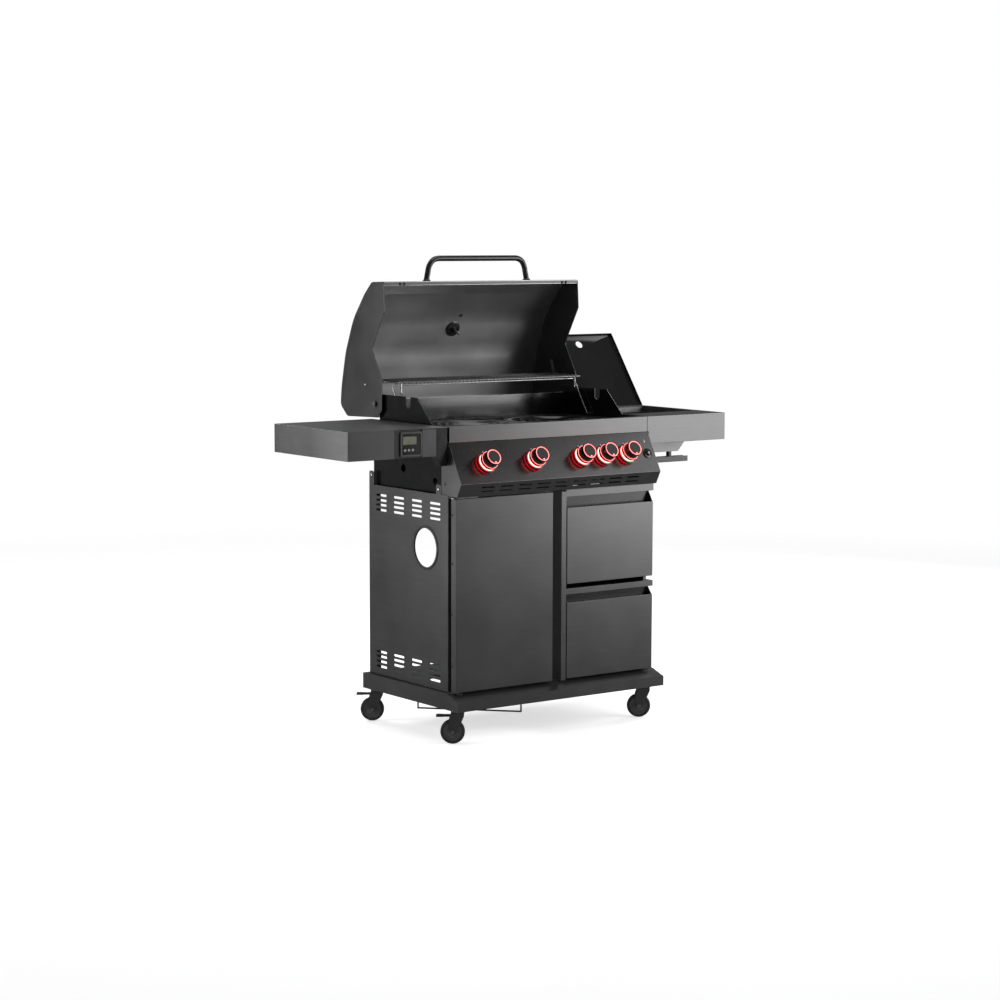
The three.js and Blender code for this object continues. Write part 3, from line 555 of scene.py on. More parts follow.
def paint_recess_shade(name, low, high):
    """The faces at the back of a drawer's finger recess, given the dark coat as painted shade."""
    node = frame["nodes"][name]
    # The dark coat added here is painted shade on the recess backs, not a different finish.
    node.data.materials.append(DARK)
    for face in node.data.polygons:
        spot = node.matrix_world @ face.center
        y, z = (spot.y - MIDDLE.y) / MM, spot.z / MM
        if -190 < y < -186 and low < z < high and face.normal.y < -0.9:
            face.material_index = 1


paint_recess_shade("upper_drawer", 649, 690)
paint_recess_shade("lower_drawer", 368, 401)


# ------------------------------------------------------------------ small hardware
def dome_screw(where, out, radius, height, name, body="cart", look=None):
    """A pan-head screw with a cross recess, standing on a face."""
    profile = [(0, -0.5), (radius, -0.5), (radius, height * 0.35)]
    profile += [(radius * 0.82, height * 0.8), (radius * 0.45, height), (0, height)]
    head = lathe(profile, 20)
    bars = [block((-radius * 0.5, radius * 0.5), (-0.5, 0.5), (height - 0.1, height + 0.15), 0)]
    bars.append(block((-0.5, 0.5), (-radius * 0.5, radius * 0.5), (height - 0.1, height + 0.15), 0))
    matrix = TO_FRAME @ frame_on(where, out, 0.4)
    parts = [(head, look or GLOSS_BLACK), *((bar, PLASTIC) for bar in bars)]
    make(name, body, parts, matrix=matrix)


def hex_bolt(where, out, radius, height, name):
    """A hexagon head on a round washer, standing on a face of the cart."""
    washer = lathe([(0, -0.3), (radius * 1.25, -0.3), (radius * 1.25, 0.9), (0, 0.9)], 28)
    head = plate(circle(0, 0, radius, 6), 0.5, height, edge=0.4)
    matrix = TO_FRAME @ frame_on(where, out, 0.3)
    make(name, "cart", [(washer, CHROME), (head, CHROME)], matrix=matrix)


# ------------------------------------------------------------------ cabinet sides
CABINET_X, CABINET_FRONT, CABINET_BACK = 365, -178, 232
CABINET_LOW, CABINET_HIGH = 146.5, 714
SLOT_GROUPS = ((140, 195), (48, 102), (-44, 8), (-138, -85))
SLOT_ROWS = (686, 671, 657, 642, 217, 203, 188, 173)
SLOT_HALF = 3.5
HAND_HOLE = (-64, 554, 58.5)


def cabinet_side(sign):
    name = "left_side" if sign < 0 else "right_side"
    holes = [stadium(a, b, z, SLOT_HALF) for a, b in SLOT_GROUPS for z in SLOT_ROWS]
    y, z, radius = HAND_HOLE
    holes.append(circle(y, z, radius, 56))
    tabs = [
        (CABINET_BACK, CABINET_LOW),
        (CABINET_BACK, 755),
        (208, 755),
        (208, CABINET_HIGH),
        (-116, CABINET_HIGH),
        (-116, 742),
        (-142, 742),
        (-142, CABINET_HIGH),
        (CABINET_FRONT, CABINET_HIGH),
        (CABINET_FRONT, CABINET_LOW),
    ]
    radii = [1, 8, 8, 2, 2, 6, 6, 2, 1, 1]
    low, high = sorted((sign * (CABINET_X - 2), sign * CABINET_X))
    sheet = plate(rounded(tabs, radii, 4), low, high, "x", holes, 0.4)
    front = sorted((sign * (CABINET_X - 11), sign * CABINET_X))
    rear = sorted((sign * (CABINET_X - 40), sign * CABINET_X))
    foot = sorted((sign * (CABINET_X - 16), sign * CABINET_X))
    height = (CABINET_LOW, CABINET_HIGH)
    parts = [
        (sheet, PANEL),
        (block(front, (CABINET_FRONT, CABINET_FRONT + 2), height, 0.4), PANEL),
        (block(rear, (CABINET_BACK - 2, CABINET_BACK), height, 0.4), PANEL),
        (block(foot, (CABINET_FRONT, CABINET_BACK), (CABINET_LOW, CABINET_LOW + 2), 0.4), PANEL),
    ]
    rim = lathe(
        [
            (radius - 1.5, -2.4),
            (radius - 1.5, 2.6),
            (radius + 1.5, 3.4),
            (radius + 5.5, 2.6),
            (radius + 6.5, 0.3),
            (radius + 1, 0.2),
            (radius + 1, -2.4),
            (radius - 1.5, -2.4),
        ],
        64,
    )
    rim_place = frame_on((sign * (CABINET_X - 0.3), y, z), (sign, 0, 0))
    parts.append((moved(rim, rim_place), PLASTIC))
    if sign < 0:
        for level in (CABINET_LOW, 708):
            ear = rounded([(-365, -176), (-365, -208), (-348, -208), (-348, -176)], [0, 7, 7, 0], 5)
            parts.append((plate(ear, level, level + 2, edge=0.3), PANEL))
    else:
        for level in (300, 600):
            parts.append((block((354, 363.5), (-160, 215), (level, level + 12), 1), CHROME))
    make(f"{name}_sheet", "cart", parts, (f"{name}_panel",))
    for i, tab in enumerate(((-128, 728), (220, 742))):
        spot = (sign * CABINET_X, *tab)
        dome_screw(spot, (sign, 0, 0), 5.5, 3, f"{name}_tab_screw_{i + 1}", look=CHROME)


for which in (-1, 1):
    cabinet_side(which)

# ------------------------------------------------------------------ control panel
PANEL_HALF = 363
SLOPE_LENGTH = 129.8
KNOB_X = [round((pivot(f"knob_{i}_turn").x - MIDDLE.x) / MM, 1) for i in range(1, 6)]
KNOB_DOWN = 70
SWITCH_X = 336
VENT_FIRST, VENT_PITCH, VENT_LENGTH = -288, 66.3, 46
PANEL_LINE = [(-222, 712), (-242, 750), (-180, 864)]
APRON_X = (-346, 29)
APRON_BACK = -182.5
KNOB_OUT = axis_of("knob_1_turn")
SLOPE_DOWN = Vector((0, -KNOB_OUT.z, KNOB_OUT.y)).normalized()
if SLOPE_DOWN.z > 0:
    SLOPE_DOWN.negate()


def on_panel(x, down, out=0.0):
    """A point on the sloped face, a way down from its top edge, in millimetres."""
    top = Vector((x, PANEL_LINE[2][0], PANEL_LINE[2][1]))
    return top + SLOPE_DOWN * down + KNOB_OUT * out


def control_panel():
    """The sloped face, the vented lip below it and the folds under the lip, as one sheet."""
    stems = [circle(x, KNOB_DOWN, 7, 20) for x in KNOB_X]
    stems.append(circle(SWITCH_X, KNOB_DOWN, 9, 24))
    face = plate(rectangle(-PANEL_HALF, PANEL_HALF, 0, SLOPE_LENGTH), -2, 0, holes=stems, edge=0.3)
    basis = Matrix.Identity(4)
    basis.col[1][:3] = SLOPE_DOWN
    basis.col[2][:3] = KNOB_OUT
    basis.col[3][:3] = on_panel(0, 0)
    moved(face, basis)
    fold, lip = Vector((0, *PANEL_LINE[1])), Vector((0, *PANEL_LINE[0]))
    down = (lip - fold).normalized()
    out = Vector((0, down.z, -down.y))
    vents = [
        stadium(first, first + VENT_LENGTH, (lip - fold).length * share, 2.6)
        for share in (0.33, 0.67)
        for first in (VENT_FIRST + VENT_PITCH * i for i in range(9))
    ]
    lip_outline = rectangle(-PANEL_HALF, PANEL_HALF, 0, (lip - fold).length)
    front = plate(lip_outline, -2, 0, holes=vents, edge=0.3)
    basis = Matrix.Identity(4)
    basis.col[1][:3] = down
    basis.col[2][:3] = out
    basis.col[3][:3] = fold
    moved(front, basis)
    fold_back = block(APRON_X, (PANEL_LINE[0][0] + 0.5, APRON_BACK), (712.2, 713.7), 0.4)
    right_fold = block((35, 346), (PANEL_LINE[0][0] + 0.5, -149), (712.2, 713.7), 0.4)
    apron = block(APRON_X, (APRON_BACK - 1.5, APRON_BACK), (705.4, 713.7), 0.4)
    crease = rod([(-PANEL_HALF, -241.1, 750), (PANEL_HALF, -241.1, 750)], 1.0, around=8)
    make(
        "control_face",
        "cart",
        [
            (face, DARK),
            (front, PANEL),
            (crease, PANEL),
            (fold_back, PANEL),
            (right_fold, PANEL),
            (apron, PANEL),
        ],
        ("control_panel",),
    )


def end_cheek(sign):
    side = "left" if sign < 0 else "right"
    outline = [(-180, 863), (-242, 750), (-222, 712), (-181, 712), (-181, 714.5), (-145, 714.5)]
    outline += [(-145, 820), (-152, 863)]
    radii = [2, 3, 3, 1, 1, 3, 10, 3]
    low, high = sorted((sign * (PANEL_HALF + 0.2), sign * (PANEL_HALF + 2.5)))
    sheet = plate(rounded(outline, radii, 3), low, high, "x", edge=0.5)
    inner = sorted((sign * (PANEL_HALF + 1), sign * (PANEL_HALF - 11)))
    flange = block(inner, (-147, -145), (716, 816), 0.4)
    make(f"{side}_cheek", "cart", [(sheet, PANEL), (flange, PANEL)])


control_panel()
for which in (-1, 1):
    end_cheek(which)


def knob(index):
    """A stepped knob with a lit neck and rings; the dot on its face points down at rest."""
    body = f"knob_{index}"
    matrix = Matrix.Identity(4)
    right = SLOPE_DOWN.cross(KNOB_OUT).normalized()
    matrix.col[0][:3] = right
    matrix.col[1][:3] = -SLOPE_DOWN
    matrix.col[2][:3] = KNOB_OUT
    matrix.col[3][:3] = pivot(f"knob_{index}_turn")
    matrix = matrix @ Matrix.Scale(MM, 4)
    skirt = lathe(
        [(0, 2.5), (27, 2.5), (30.6, 2.6), (31.8, 3.6), (32, 8.2), (31.2, 10.2), (29.2, 11.2),
         (0, 11.2)],
        64,
    )
    neck = lathe([(0, 11), (27, 11), (27, 20.6), (0, 20.6)], 64)
    collar = lathe(
        [(0, 20), (27.4, 20), (28, 21), (28, 24.4), (27.4, 26.6), (25.6, 27.6), (0, 27.6)], 64
    )
    grip = lathe(
        [(0, 27), (24, 27), (24, 31.4), (23.4, 32), (23.4, 33.4), (24, 34), (24, 47.6),
         (23.5, 49.4), (22.4, 50), (22.2, 49.4), (0, 49.4)],
        64,
    )
    face = lathe([(0, 49), (19.4, 49), (19.4, 49.7), (0, 49.9)], 64)
    parts = [(skirt, KNOB), (collar, KNOB), (grip, KNOB), (face, KNOB_FACE)]
    for i in range(36):
        angle = 2 * math.pi * i / 36
        spot = Vector((23.8 * math.cos(angle), 23.8 * math.sin(angle), 0))
        rib = block((-0.45, 0.45), (-0.5, 0.5), (35, 47), 0.25, 1)
        parts.append((moved(rib, Matrix.Translation(spot) @ Matrix.Rotation(angle, 4, "Z")), KNOB))
    make(f"{body}_shell", body, parts, (body,), matrix)
    lit = [
        (neck, GLOW),
        (lathe([(22, 0.6), (29.5, 0.6), (29.5, 2.4), (22, 2.4), (22, 0.6)], 48), GLOW_RED),
        *((hoop(26.6, height, 0.9, 64), GLOW_DIM) for height in (11.8, 19.4)),
        (hoop(31.4, 3.2, 0.4, 64), GLOW_DIM),
        (hoop(26.2, 27.6, 0.6, 64), GLOW_THIN),
        (hoop(21.0, 49.6, 0.9, 64), GLOW_THIN),
        (moved(lathe([(0, 49.3), (2.3, 49.3), (2.1, 50.2), (0, 50.4)], 20),
               Matrix.Translation((0, -16.5, 0))), GLOW_THIN),
    ]
    make(f"{body}_lights", body, lit, matrix=matrix)


for number in range(1, 6):
    knob(number)


def panel_marks():
    """One small pale tick above each knob, and one for the switch."""
    parts = []
    for x in (*KNOB_X, SWITCH_X):
        spot = on_panel(x + 4, 33 if x != SWITCH_X else 30)
        mark = lathe([(0, -0.1), (1.7, -0.1), (1.7, 0.25), (0, 0.25)], 16)
        if x == SWITCH_X:
            mark = block((-1.1, 1.1), (-5, 5), (-0.1, 0.25), 0)
        parts.append((moved(mark, frame_on(spot, KNOB_OUT)), MARK))
    make("panel_marks", "cart", parts)


panel_marks()


def light_switch():
    """A domed push switch in a collar, with a pale dot on its cap."""
    axis = frame_on(on_panel(SWITCH_X, KNOB_DOWN), KNOB_OUT)
    cap = lathe([(0, -7), (8, -7), (8, 7), (7.2, 8.8), (5, 9.5), (0, 9.6)], 36)
    dot = lathe([(0, 9.2), (2.2, 9.2), (2.2, 9.9), (0, 9.9)], 20)
    parts = [(moved(cap, axis), GLOSS_BLACK), (moved(dot, axis), MARK)]
    make("light_switch_cap", "switch", parts, ("light_switch",))
    collar = lathe(
        [(8.7, -1), (8.7, 2.6), (9.6, 3.4), (14, 3), (16, 1.6), (16.4, -0.2), (8.7, -1)], 40
    )
    make("light_switch_collar", "cart", [(moved(collar, axis), GLOSS_BLACK)])


light_switch()

# ------------------------------------------------------------------ lid
LID_X = 360
LID_OUT = [
    (160.5, 1315),
    (222, 1313),
    (262, 1276),
    (322, 1202),
    (366, 1100),
    (389, 997),
    (395, 942),
    (357, 909),
    (199, 914),
]
LID_RADII = [0, 20, 60, 200, 260, 200, 26, 22, 0]
LID_IN = [(193, 914), (170, 936), (169, 1028), (222, 1115), (155, 1229)]
LID_BOLT = (203, 954)
RACK_PIN = (273, 1059)
LID_THICKNESS = 2.2
DIAL_OUT = Vector((0, 0.918, 0.396))


def lid_inner(z):
    """Where the inside of the lid's back lies at a height."""
    line = rounded(LID_OUT, LID_RADII, 8, closed=False)
    for (y0, z0), (y1, z1) in zip(line, line[1:]):
        if z1 <= z <= z0:
            return y0 + (y1 - y0) * (z0 - z) / (z0 - z1) - LID_THICKNESS
    raise ValueError(f"no lid at height {z}")


def lid_shell():
    reach = LID_X - 2
    line = rounded(LID_OUT, LID_RADII, 8, closed=False)
    skin = plate(strip(line, -1.1), -reach, reach, "x", edge=0.3)
    lining = plate(strip(beside(line, -1.1), -0.9), -reach, reach, "x", edge=0.3)
    lip = plate(
        rounded([(160.6, 1304), (162.8, 1304), (162.8, 1313.6), (160.6, 1313.6)], 0.9, 2),
        -reach,
        reach,
        "x",
        edge=0.3,
    )
    bright = rod([(-reach, 162.6, 1303.4), (reach, 162.6, 1303.4)], 1.2, around=10)
    bumpers = []
    for x in (-300, -286, 300, 314):
        bumper = lathe([(0, 0), (5.2, 0), (5.6, 1.4), (4.4, 5), (2.4, 6), (0, 6.2)], 24)
        place = frame_on((x, 165, 1314.6 - 7), (0, -1, 0))
        bumpers.append((moved(bumper, place), GLOSS_BLACK))
    studs = ((27, 1207, 7.5, PLASTIC), (35.6, 1233.6, 1.8, CHROME), (7, 1042, 2.2, CHROME))
    for x, z, radius, look in studs:
        stud = lathe([(0, -0.4), (radius, -0.4), (radius * 0.9, 0.5), (0, 0.7)], 24)
        y = lid_inner(z)
        bumpers.append((moved(stud, frame_on((x, y, z), -DIAL_OUT)), look))
    make(
        "lid_skin",
        "lid",
        [(skin, POWDER), (lining, LID_SKIN), (lip, POWDER), (bright, CHROME), *bumpers],
        ("lid_shell",),
        sharp=25,
    )


def lid_plate(sign):
    side = "left" if sign < 0 else "right"
    outline = [*LID_OUT, *LID_IN]
    radii = [9, 20, 60, 200, 260, 200, 26, 22, 6, 12, 14, 10, 12, 10]
    low, high = sorted((sign * (LID_X - 1.5), sign * (LID_X + 1.5)))
    shape = rounded(outline, radii, 6)
    sheet = plate(shape, low, high, "x", [circle(*LID_BOLT, 5.7, 24)], 0.9)
    line = rounded(LID_OUT[1:8], LID_RADII[1:8], 8, closed=False)
    inset = beside(line, -13)[3:-2]
    face = sign * (LID_X + 1.4)
    bead = rod([(face, a, b) for a, b in inset], 1.3, around=8)
    pin = moved(
        lathe([(0, 0), (3, 0), (3, 16), (4.6, 16.2), (4.6, 17.6), (0, 17.6)], 20),
        frame_on((sign * LID_X, *RACK_PIN), (-sign, 0, 0)),
    )
    make(
        f"lid_{side}_cheek",
        "lid",
        [(sheet, POWDER), (bead, POWDER), (pin, CHROME)],
        (f"lid_{side}_plate",),
    )
    dome_screw(
        (face, 258, 1009), (sign, 0, 0), 4.2, 2.6, f"lid_{side}_screw", "lid", CHROME
    )


def lid_handle():
    x, y, foot, top = 182, 192, 1316, 1381.5
    corners = [(-x - 4, y, foot), (-x + 10, y, top), (x - 10, y, top), (x + 4, y, foot)]
    bow = rod(corners, 8.5, 36, 24, 14)
    parts = [(bow, GLOSS_BLACK)]
    for sign in (-1, 1):
        spot = (sign * (x + 3.6), y, foot - 1.6)
        collar = lathe([(0, 0), (12, 0), (12, 2.4), (10.4, 4.4), (0, 4.4)], 32)
        parts.append((moved(collar, frame_on(spot, (0, 0, 1))), GLOSS_BLACK))
    make("lid_handle_bow", "lid", parts, ("lid_handle",))


def lid_dial():
    """Dial thermometer: flange and probe inside the lid, face and bezel outside."""
    axis = frame_on((10, 338, 1165), DIAL_OUT.normalized())
    flange = lathe(
        [(0, -8.6), (7, -8.6), (8, -7.4), (22, -6.6), (24.4, -5), (24.4, -3), (0, -3)], 44
    )
    nut = plate(circle(0, 0, 9.5, 6), -13.5, -7, edge=1.2)
    probe = lathe([(0, -44), (2, -43.4), (3, -41), (3, -6), (0, -6)], 20)
    neck = lathe([(0, -4), (10, -4), (10, 2), (0, 2)], 24)
    case = lathe(
        [(0, 0.6), (29, 0.6), (31.4, 2), (32, 5), (32, 12.6), (31, 15.4), (29, 16), (28, 14.4),
         (27.6, 12.4), (0, 12.4)],
        64,
    )
    face = lathe([(0, 12.3), (27.4, 12.3), (27.4, 12.9), (0, 12.9)], 64)
    parts = [(flange, GLOSS_BLACK), (nut, GLOSS_BLACK), (probe, CHROME), (neck, CHROME)]
    for a, b in ((13, 9), (3, 16.5), (-12, 11), (15, -6)):
        stud = lathe([(0, -8), (1.7, -8), (1.7, -6.4), (0, -6.4)], 12)
        parts.append((moved(stud, Matrix.Translation((a, b, 0))), CHROME))
    parts += [(case, CHROME), (face, MARK)]
    for i in range(21):
        angle = math.radians(-130 + 13 * i)
        length = 4.5 if i % 5 == 0 else 2.6
        tick = block((-0.35, 0.35), (24 - length, 24), (12.8, 13.15), 0)
        parts.append((moved(tick, Matrix.Rotation(-angle, 4, "Z")), PLASTIC))
    needle = block((-0.7, 0.7), (-5, 19), (13.2, 13.9), 0.2, 1)
    parts.append((moved(needle, Matrix.Rotation(math.radians(120), 4, "Z")), NEEDLE))
    parts.append((lathe([(0, 12.8), (3, 12.8), (3, 14.6), (0, 15)], 24), CHROME))
    parts = [(moved(solid, axis), look) for solid, look in parts]
    make("lid_dial", "lid", parts, ("lid_thermometer",))


lid_shell()
for which in (-1, 1):
    lid_plate(which)
lid_handle()
lid_dial()

# ------------------------------------------------------------------ lid hinges on the firebox
for which in (-1, 1):
    hex_bolt((which * 365.6, *LID_BOLT), (which, 0, 0), 7.5, 5, f"lid_hinge_bolt_{which + 2}")


# ------------------------------------------------------------------ warming rack
def warming_rack():
    z, half, front, back = 1018, 342, 125, 255
    parts = [
        (rod([(-half, y, z), (half, y, z)], 2.6, around=12), WIRE) for y in (front, 190, back)
    ]
    count = 46
    for i in range(count + 1):
        x = -326 + 652 * i / count
        wire = [(x, front - 3.4, z - 4), (x, front - 1.4, z + 4.4), (x, back + 1.4, z + 4.4)]
        parts.append((rod([*wire, (x, back + 3.4, z - 4)], 1.7, 3, 8, 3), WIRE))
    for sign in (-1, 1):
        foot = [(sign * 322, front, z), (sign * 322, front, 988), (sign * 318, front - 4, 986)]
        parts.append((rod(foot, 2.4, 4, 10), CHROME))
        y, pin = RACK_PIN
        shape = [(249, z - 4), (261, z - 4), (y + 8, pin), (y, pin + 8), (y - 8, pin)]
        low, high = sorted((sign * 344, sign * 346))
        hanger = plate(rounded(shape, 3, 3), low, high, "x", [circle(y, pin, 3.8, 20)], 0.4)
        parts.append((hanger, CHROME))
        neck = rod([(sign * (half - 2), back, z), (sign * 345, back, z)], 3, around=12)
        parts.append((neck, CHROME))
    make("rack_wires", "rack", parts, ("warming_rack",))


def rack_legs():
    root = (80, 905)
    top = (150, 1010)
    path = [(-352.5, *root), (-338, *root), (-338, *top), (338, *top), (338, *root)]
    legs = rod([*path, (352.5, *root)], 2.4, 6, 12)
    make("rack_leg_rod", "legs", [(legs, CHROME)], ("rack_legs",))


warming_rack()
rack_legs()


# ------------------------------------------------------------------ grates and burners
def round_insert(side, x):
    """A drop-in insert: rim, two inner rings, spokes and a solid middle."""
    y, low, high, radius = 12, 890, 898, 138
    parts = []
    for outer, width in ((radius - 0.8, 11), (100, 6), (76, 6)):
        ring = lathe(
            [
                (outer - width, low),
                (outer, low),
                (outer, high - 1),
                (outer - 1, high),
                (outer - width + 1, high),
                (outer - width, high - 1),
                (outer - width, low),
            ],
            72,
        )
        parts.append((ring, ENAMEL))
    middle = lathe(
        [(0, low), (53, low), (54, low + 1), (54, high - 1), (52.6, high), (44, high),
         (43, high - 1.2), (41, high - 1.2), (40, high), (0, high)],
        64,
    )
    parts.append((middle, ENAMEL))
    for i in range(10):
        spoke = block((50, 129), (-3, 3), (low + 1, high - 0.5), 0.8)
        parts.append((moved(spoke, Matrix.Rotation(math.pi * i / 5, 4, "Z")), ENAMEL))
    parts = [(moved(solid, Matrix.Translation((x, y, 0))), look) for solid, look in parts]
    make(f"{side}_insert", "cart", parts, (f"{side}_round_insert",))


for which, centre in (("left", -152), ("right", 152)):
    round_insert(which, centre)


def burner(index, x):
    """A tube burner with two rows of ports, a flared throat and a foot."""
    z = 824
    tube = lathe(
        [(0, 0), (9, 0), (9, 8), (13, 14), (13, 316), (11, 319), (0, 320)], 32
    )
    parts = [(moved(tube, frame_on((x, -144, z), (0, 1, 0))), STEEL)]
    parts.append((block((x - 18, x + 18), (172, 193.5), (z - 16, z - 12), 0.6), STEEL))
    parts.append((block((x - 3, x + 3), (168, 175), (z - 16, z - 4), 0.4), STEEL))
    for sign in (-1, 1):
        for i in range(24):
            port = lathe([(0, 0), (1.5, 0), (1.5, 0.4), (0, 0.4)], 10)
            out = Vector((sign * 0.9, 0, 0.43)).normalized()
            spot = Vector((x, -110 + 11 * i, z)) + out * 12.85
            parts.append((moved(port, frame_on(spot, out)), PLASTIC))
    make(f"burner_tube_{index}", "cart", parts, (f"burner_{index}",))


for i in range(4):
    low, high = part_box(f"burner_{i + 1}")
    burner(i + 1, ((low.x + high.x) / 2 - MIDDLE.x) / MM)


def side_burner():
    """A side burner: stem, flared cup with a toothed rim and a domed cap."""
    low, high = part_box("side_burner_head")
    x = ((low.x + high.x) / 2 - MIDDLE.x) / MM
    y = ((low.y + high.y) / 2 - MIDDLE.y) / MM
    cup = lathe([(0, 788.5), (14, 788.5), (14, 838), (24, 840), (41, 855), (42, 858), (0, 858)], 56)
    cap = lathe([(0, 857), (37, 857), (38, 858.4), (36.4, 862), (30, 864.6), (0, 866)], 56)
    parts = [(cup, STEEL), (cap, CAST)]
    for i in range(30):
        angle = 2 * math.pi * i / 30
        tooth = block((37.6, 41.4), (-1.3, 1.3), (857.5, 861), 0.3, 1)
        parts.append((moved(tooth, Matrix.Rotation(angle, 4, "Z")), STEEL))
    parts = [(moved(solid, Matrix.Translation((x, y, 0))), look) for solid, look in parts]
    make("side_burner_cup", "cart", parts, ("side_burner_head",))


side_burner()


def side_pan():
    """The tapered pan in the right shelf, and the channel on hangers that carries it."""
    line = [(400, 907.5), (400, 786), (590, 786), (622, 822), (650, 826), (650, 907.5)]
    skin = plate(strip(rounded(line, [0, 3, 5, 5, 3, 0], 3, closed=False), 2), -54, 190, "y")
    ends = [
        plate(rounded(line, [1, 3, 5, 5, 3, 1], 3), y, y + 2, "y", edge=0.4) for y in (-56, 190)
    ]
    parts = [(solid, PAN) for solid in (skin, *ends)]
    tray = strip(rounded([(-53, 770), (-53, 753), (-29, 753), (-29, 770)], 2, 3, closed=False), 2)
    parts.append((plate(tray, 404, 632, "x", edge=0.3), CHANNEL))
    parts.append((block((372, 404.5), (-54, -28), (752, 770), 1.5), PLASTIC))
    for x in (410, 560):
        parts.append((block((x, x + 10), (-48, -34), (754, 786.5), 0.5), PLASTIC))
    make("side_pan", "cart", parts, ("side_burner_pan",))


side_pan()

# ------------------------------------------------------------------ digital thermometer
def thermometer():
    """A framed display over three buttons, on a grey moulding."""
    y = -180
    x0, x1 = -549, -406
    z0, z1 = 828, 907.5
    frame_out = rounded(rectangle(-529, -457, 833, 902), 4, 4)
    frame_in = rounded(rectangle(-524, -462, 838, 897), 2.5, 4)
    window = rounded(rectangle(-520, -473, 866, 889), 1.5, 3)
    wells = [circle(x, 851, 4.6, 24) for x in (-514, -501, -488)]
    dark = block((x0, -531), (y + 3, y + 27), (z0, z1), 1.5)
    moulding = block((-456, x1), (y + 0.5, y + 27), (z0, z1), 2.5, 3)
    behind = block((-532, -455), (y + 4, y + 27), (z0, z1), 1.0)
    rim = plate(frame_out, y - 1.5, y + 5, "y", [frame_in], 0.9)
    glass_frame = plate(frame_in, y + 0.2, y + 4.5, "y", [window, *wells], 0.3)
    screen = block((-521, -472), (y + 1.4, y + 3.4), (865, 890), 0.3, 1)
    parts = [(dark, PLASTIC), (moulding, HUB), (behind, PLASTIC), (rim, HUB)]
    parts += [(glass_frame, GLOSS_BLACK), (screen, DISPLAY)]
    make("thermometer_case", "cart", parts, ("thermometer_housing",))
    for i, x in enumerate((-514, -501, -488)):
        cap = lathe([(0, -2), (4, -2), (4, 8.4), (3.2, 9.4), (0, 9.6)], 28)
        place = frame_on((x, y + 8, 851), (0, -1, 0))
        make(
            f"thermometer_key_{i + 1}",
            f"button_{i + 1}",
            [(moved(cap, place), BUTTON)],
            (f"thermometer_button_{i + 1}",),
        )


thermometer()


# ------------------------------------------------------------------ casters
TRAIL, AXLE, TYRE = 16, 35.5, 35.5


def caster(corner, braked):
    """One swivel caster, in its own frame: swivel axis Z, wheel trailing along X."""
    swivel = pivot(f"{corner}_swivel")
    roll = pivot(f"{corner}_roll")
    trail = Vector((roll.x - swivel.x, roll.y - swivel.y, 0)).normalized()
    matrix = Matrix.Identity(4)
    matrix.col[0][:3] = trail
    matrix.col[1][:3] = Vector((-trail.y, trail.x, 0))
    matrix.col[3][:3] = (swivel.x, swivel.y, 0)
    matrix = matrix @ Matrix.Scale(MM, 4)
    legs = [(-17, 90), (-17, 82), (5, 33), (16, 25), (26, 33), (27, 70), (20, 90)]
    shape = rounded(legs, [2, 6, 8, 9, 8, 10, 2], 5)
    fork = []
    for y in (-17, 15):
        fork.append((plate(shape, y, y + 2, "y", edge=0.5), POWDER))
    fork.append((block((-17, 20), (-17, 17), (88, 91), 1.0), POWDER))
    race = [(0, 90.5), (18, 90.5), (21, 92), (22, 95), (20.6, 98), (20.6, 99.4), (22, 101)]
    race += [(22, 105), (20, 107.3), (0, 107.3)]
    fork.append((lathe(race, 40), CHROME))
    for sign in (-1, 1):
        spot = (TRAIL, sign * 17, AXLE)
        fork.append((moved(plate(circle(0, 0, 7, 6), 0, 3.4, edge=0.5),
                           frame_on(spot, (0, sign, 0))), CHROME))
    fork.append((moved(lathe([(0, -17), (4, -17), (4, 17), (0, 17)], 20),
                       frame_on((TRAIL, 0, AXLE), (0, 1, 0))), CHROME))
    make(f"{corner}_fork_shell", f"{corner}_fork", fork, (f"{corner}_fork",), matrix)
    tread = lathe(
        [(26, -9), (28, -11.2), (31, -12), (33.8, -10.6), (35.1, -7.4), (TYRE, -3.6), (TYRE, 3.6),
         (35.1, 7.4), (33.8, 10.6), (31, 12), (28, 11.2), (26, 9), (26, -9)],
        72,
    )
    hub = lathe(
        [(4.8, -13), (10.4, -13), (11.4, -12), (12.6, -8), (20, -7), (23, -9.4), (26.6, -10),
         (26.6, 10), (23, 9.4), (20, 7), (12.6, 8), (11.4, 12), (10.4, 13), (4.8, 13), (4.8, -13)],
        64,
    )
    wheel = [(tread, RUBBER), (hub, HUB)]
    for i in range(6):
        for sign in (-1, 1):
            rib = block((12, 23), (-1.2, 1.2), sorted((sign * 6, sign * 8.8)), 0.5, 1)
            wheel.append((moved(rib, Matrix.Rotation(math.pi * i / 3, 4, "Z")), HUB))
    place = frame_on((TRAIL, 0, AXLE), (0, 1, 0))
    wheel = [(moved(solid, place), look) for solid, look in wheel]
    make(f"{corner}_tyre", f"{corner}_wheel", wheel, (f"{corner}_wheel",), matrix)
    if not braked:
        return
    arm = [(0, 79.5), (0, 84), (44, 84), (60, 82.5), (64, 79.5), (60, 79)]
    pedal = [(plate(rounded(arm, 1.2, 3), -10, 10, "y", edge=0.8), PLASTIC)]
    pedal.append((block((42, 63.5), (-15, 15), (79.4, 83.6), 1.6, 3), PLASTIC))
    for i in range(5):
        x = 45 + 3.8 * i
        pedal.append((block((x, x + 1.6), (-13, 13), (83, 84.6), 0.5, 1), PLASTIC))
    pedal.append((moved(lathe([(0, -14), (2.5, -14), (2.5, 14), (0, 14)], 16),
                        frame_on((4, 0, 83), (0, 1, 0))), CHROME))
    make(f"{corner}_pedal", f"{corner}_brake", pedal, (f"{corner}_brake",), matrix)


for which, has_brake in (
    ("front_left", True),
    ("front_right", False),
    ("rear_left", True),
    ("rear_right", False),
):
    caster(which, has_brake)


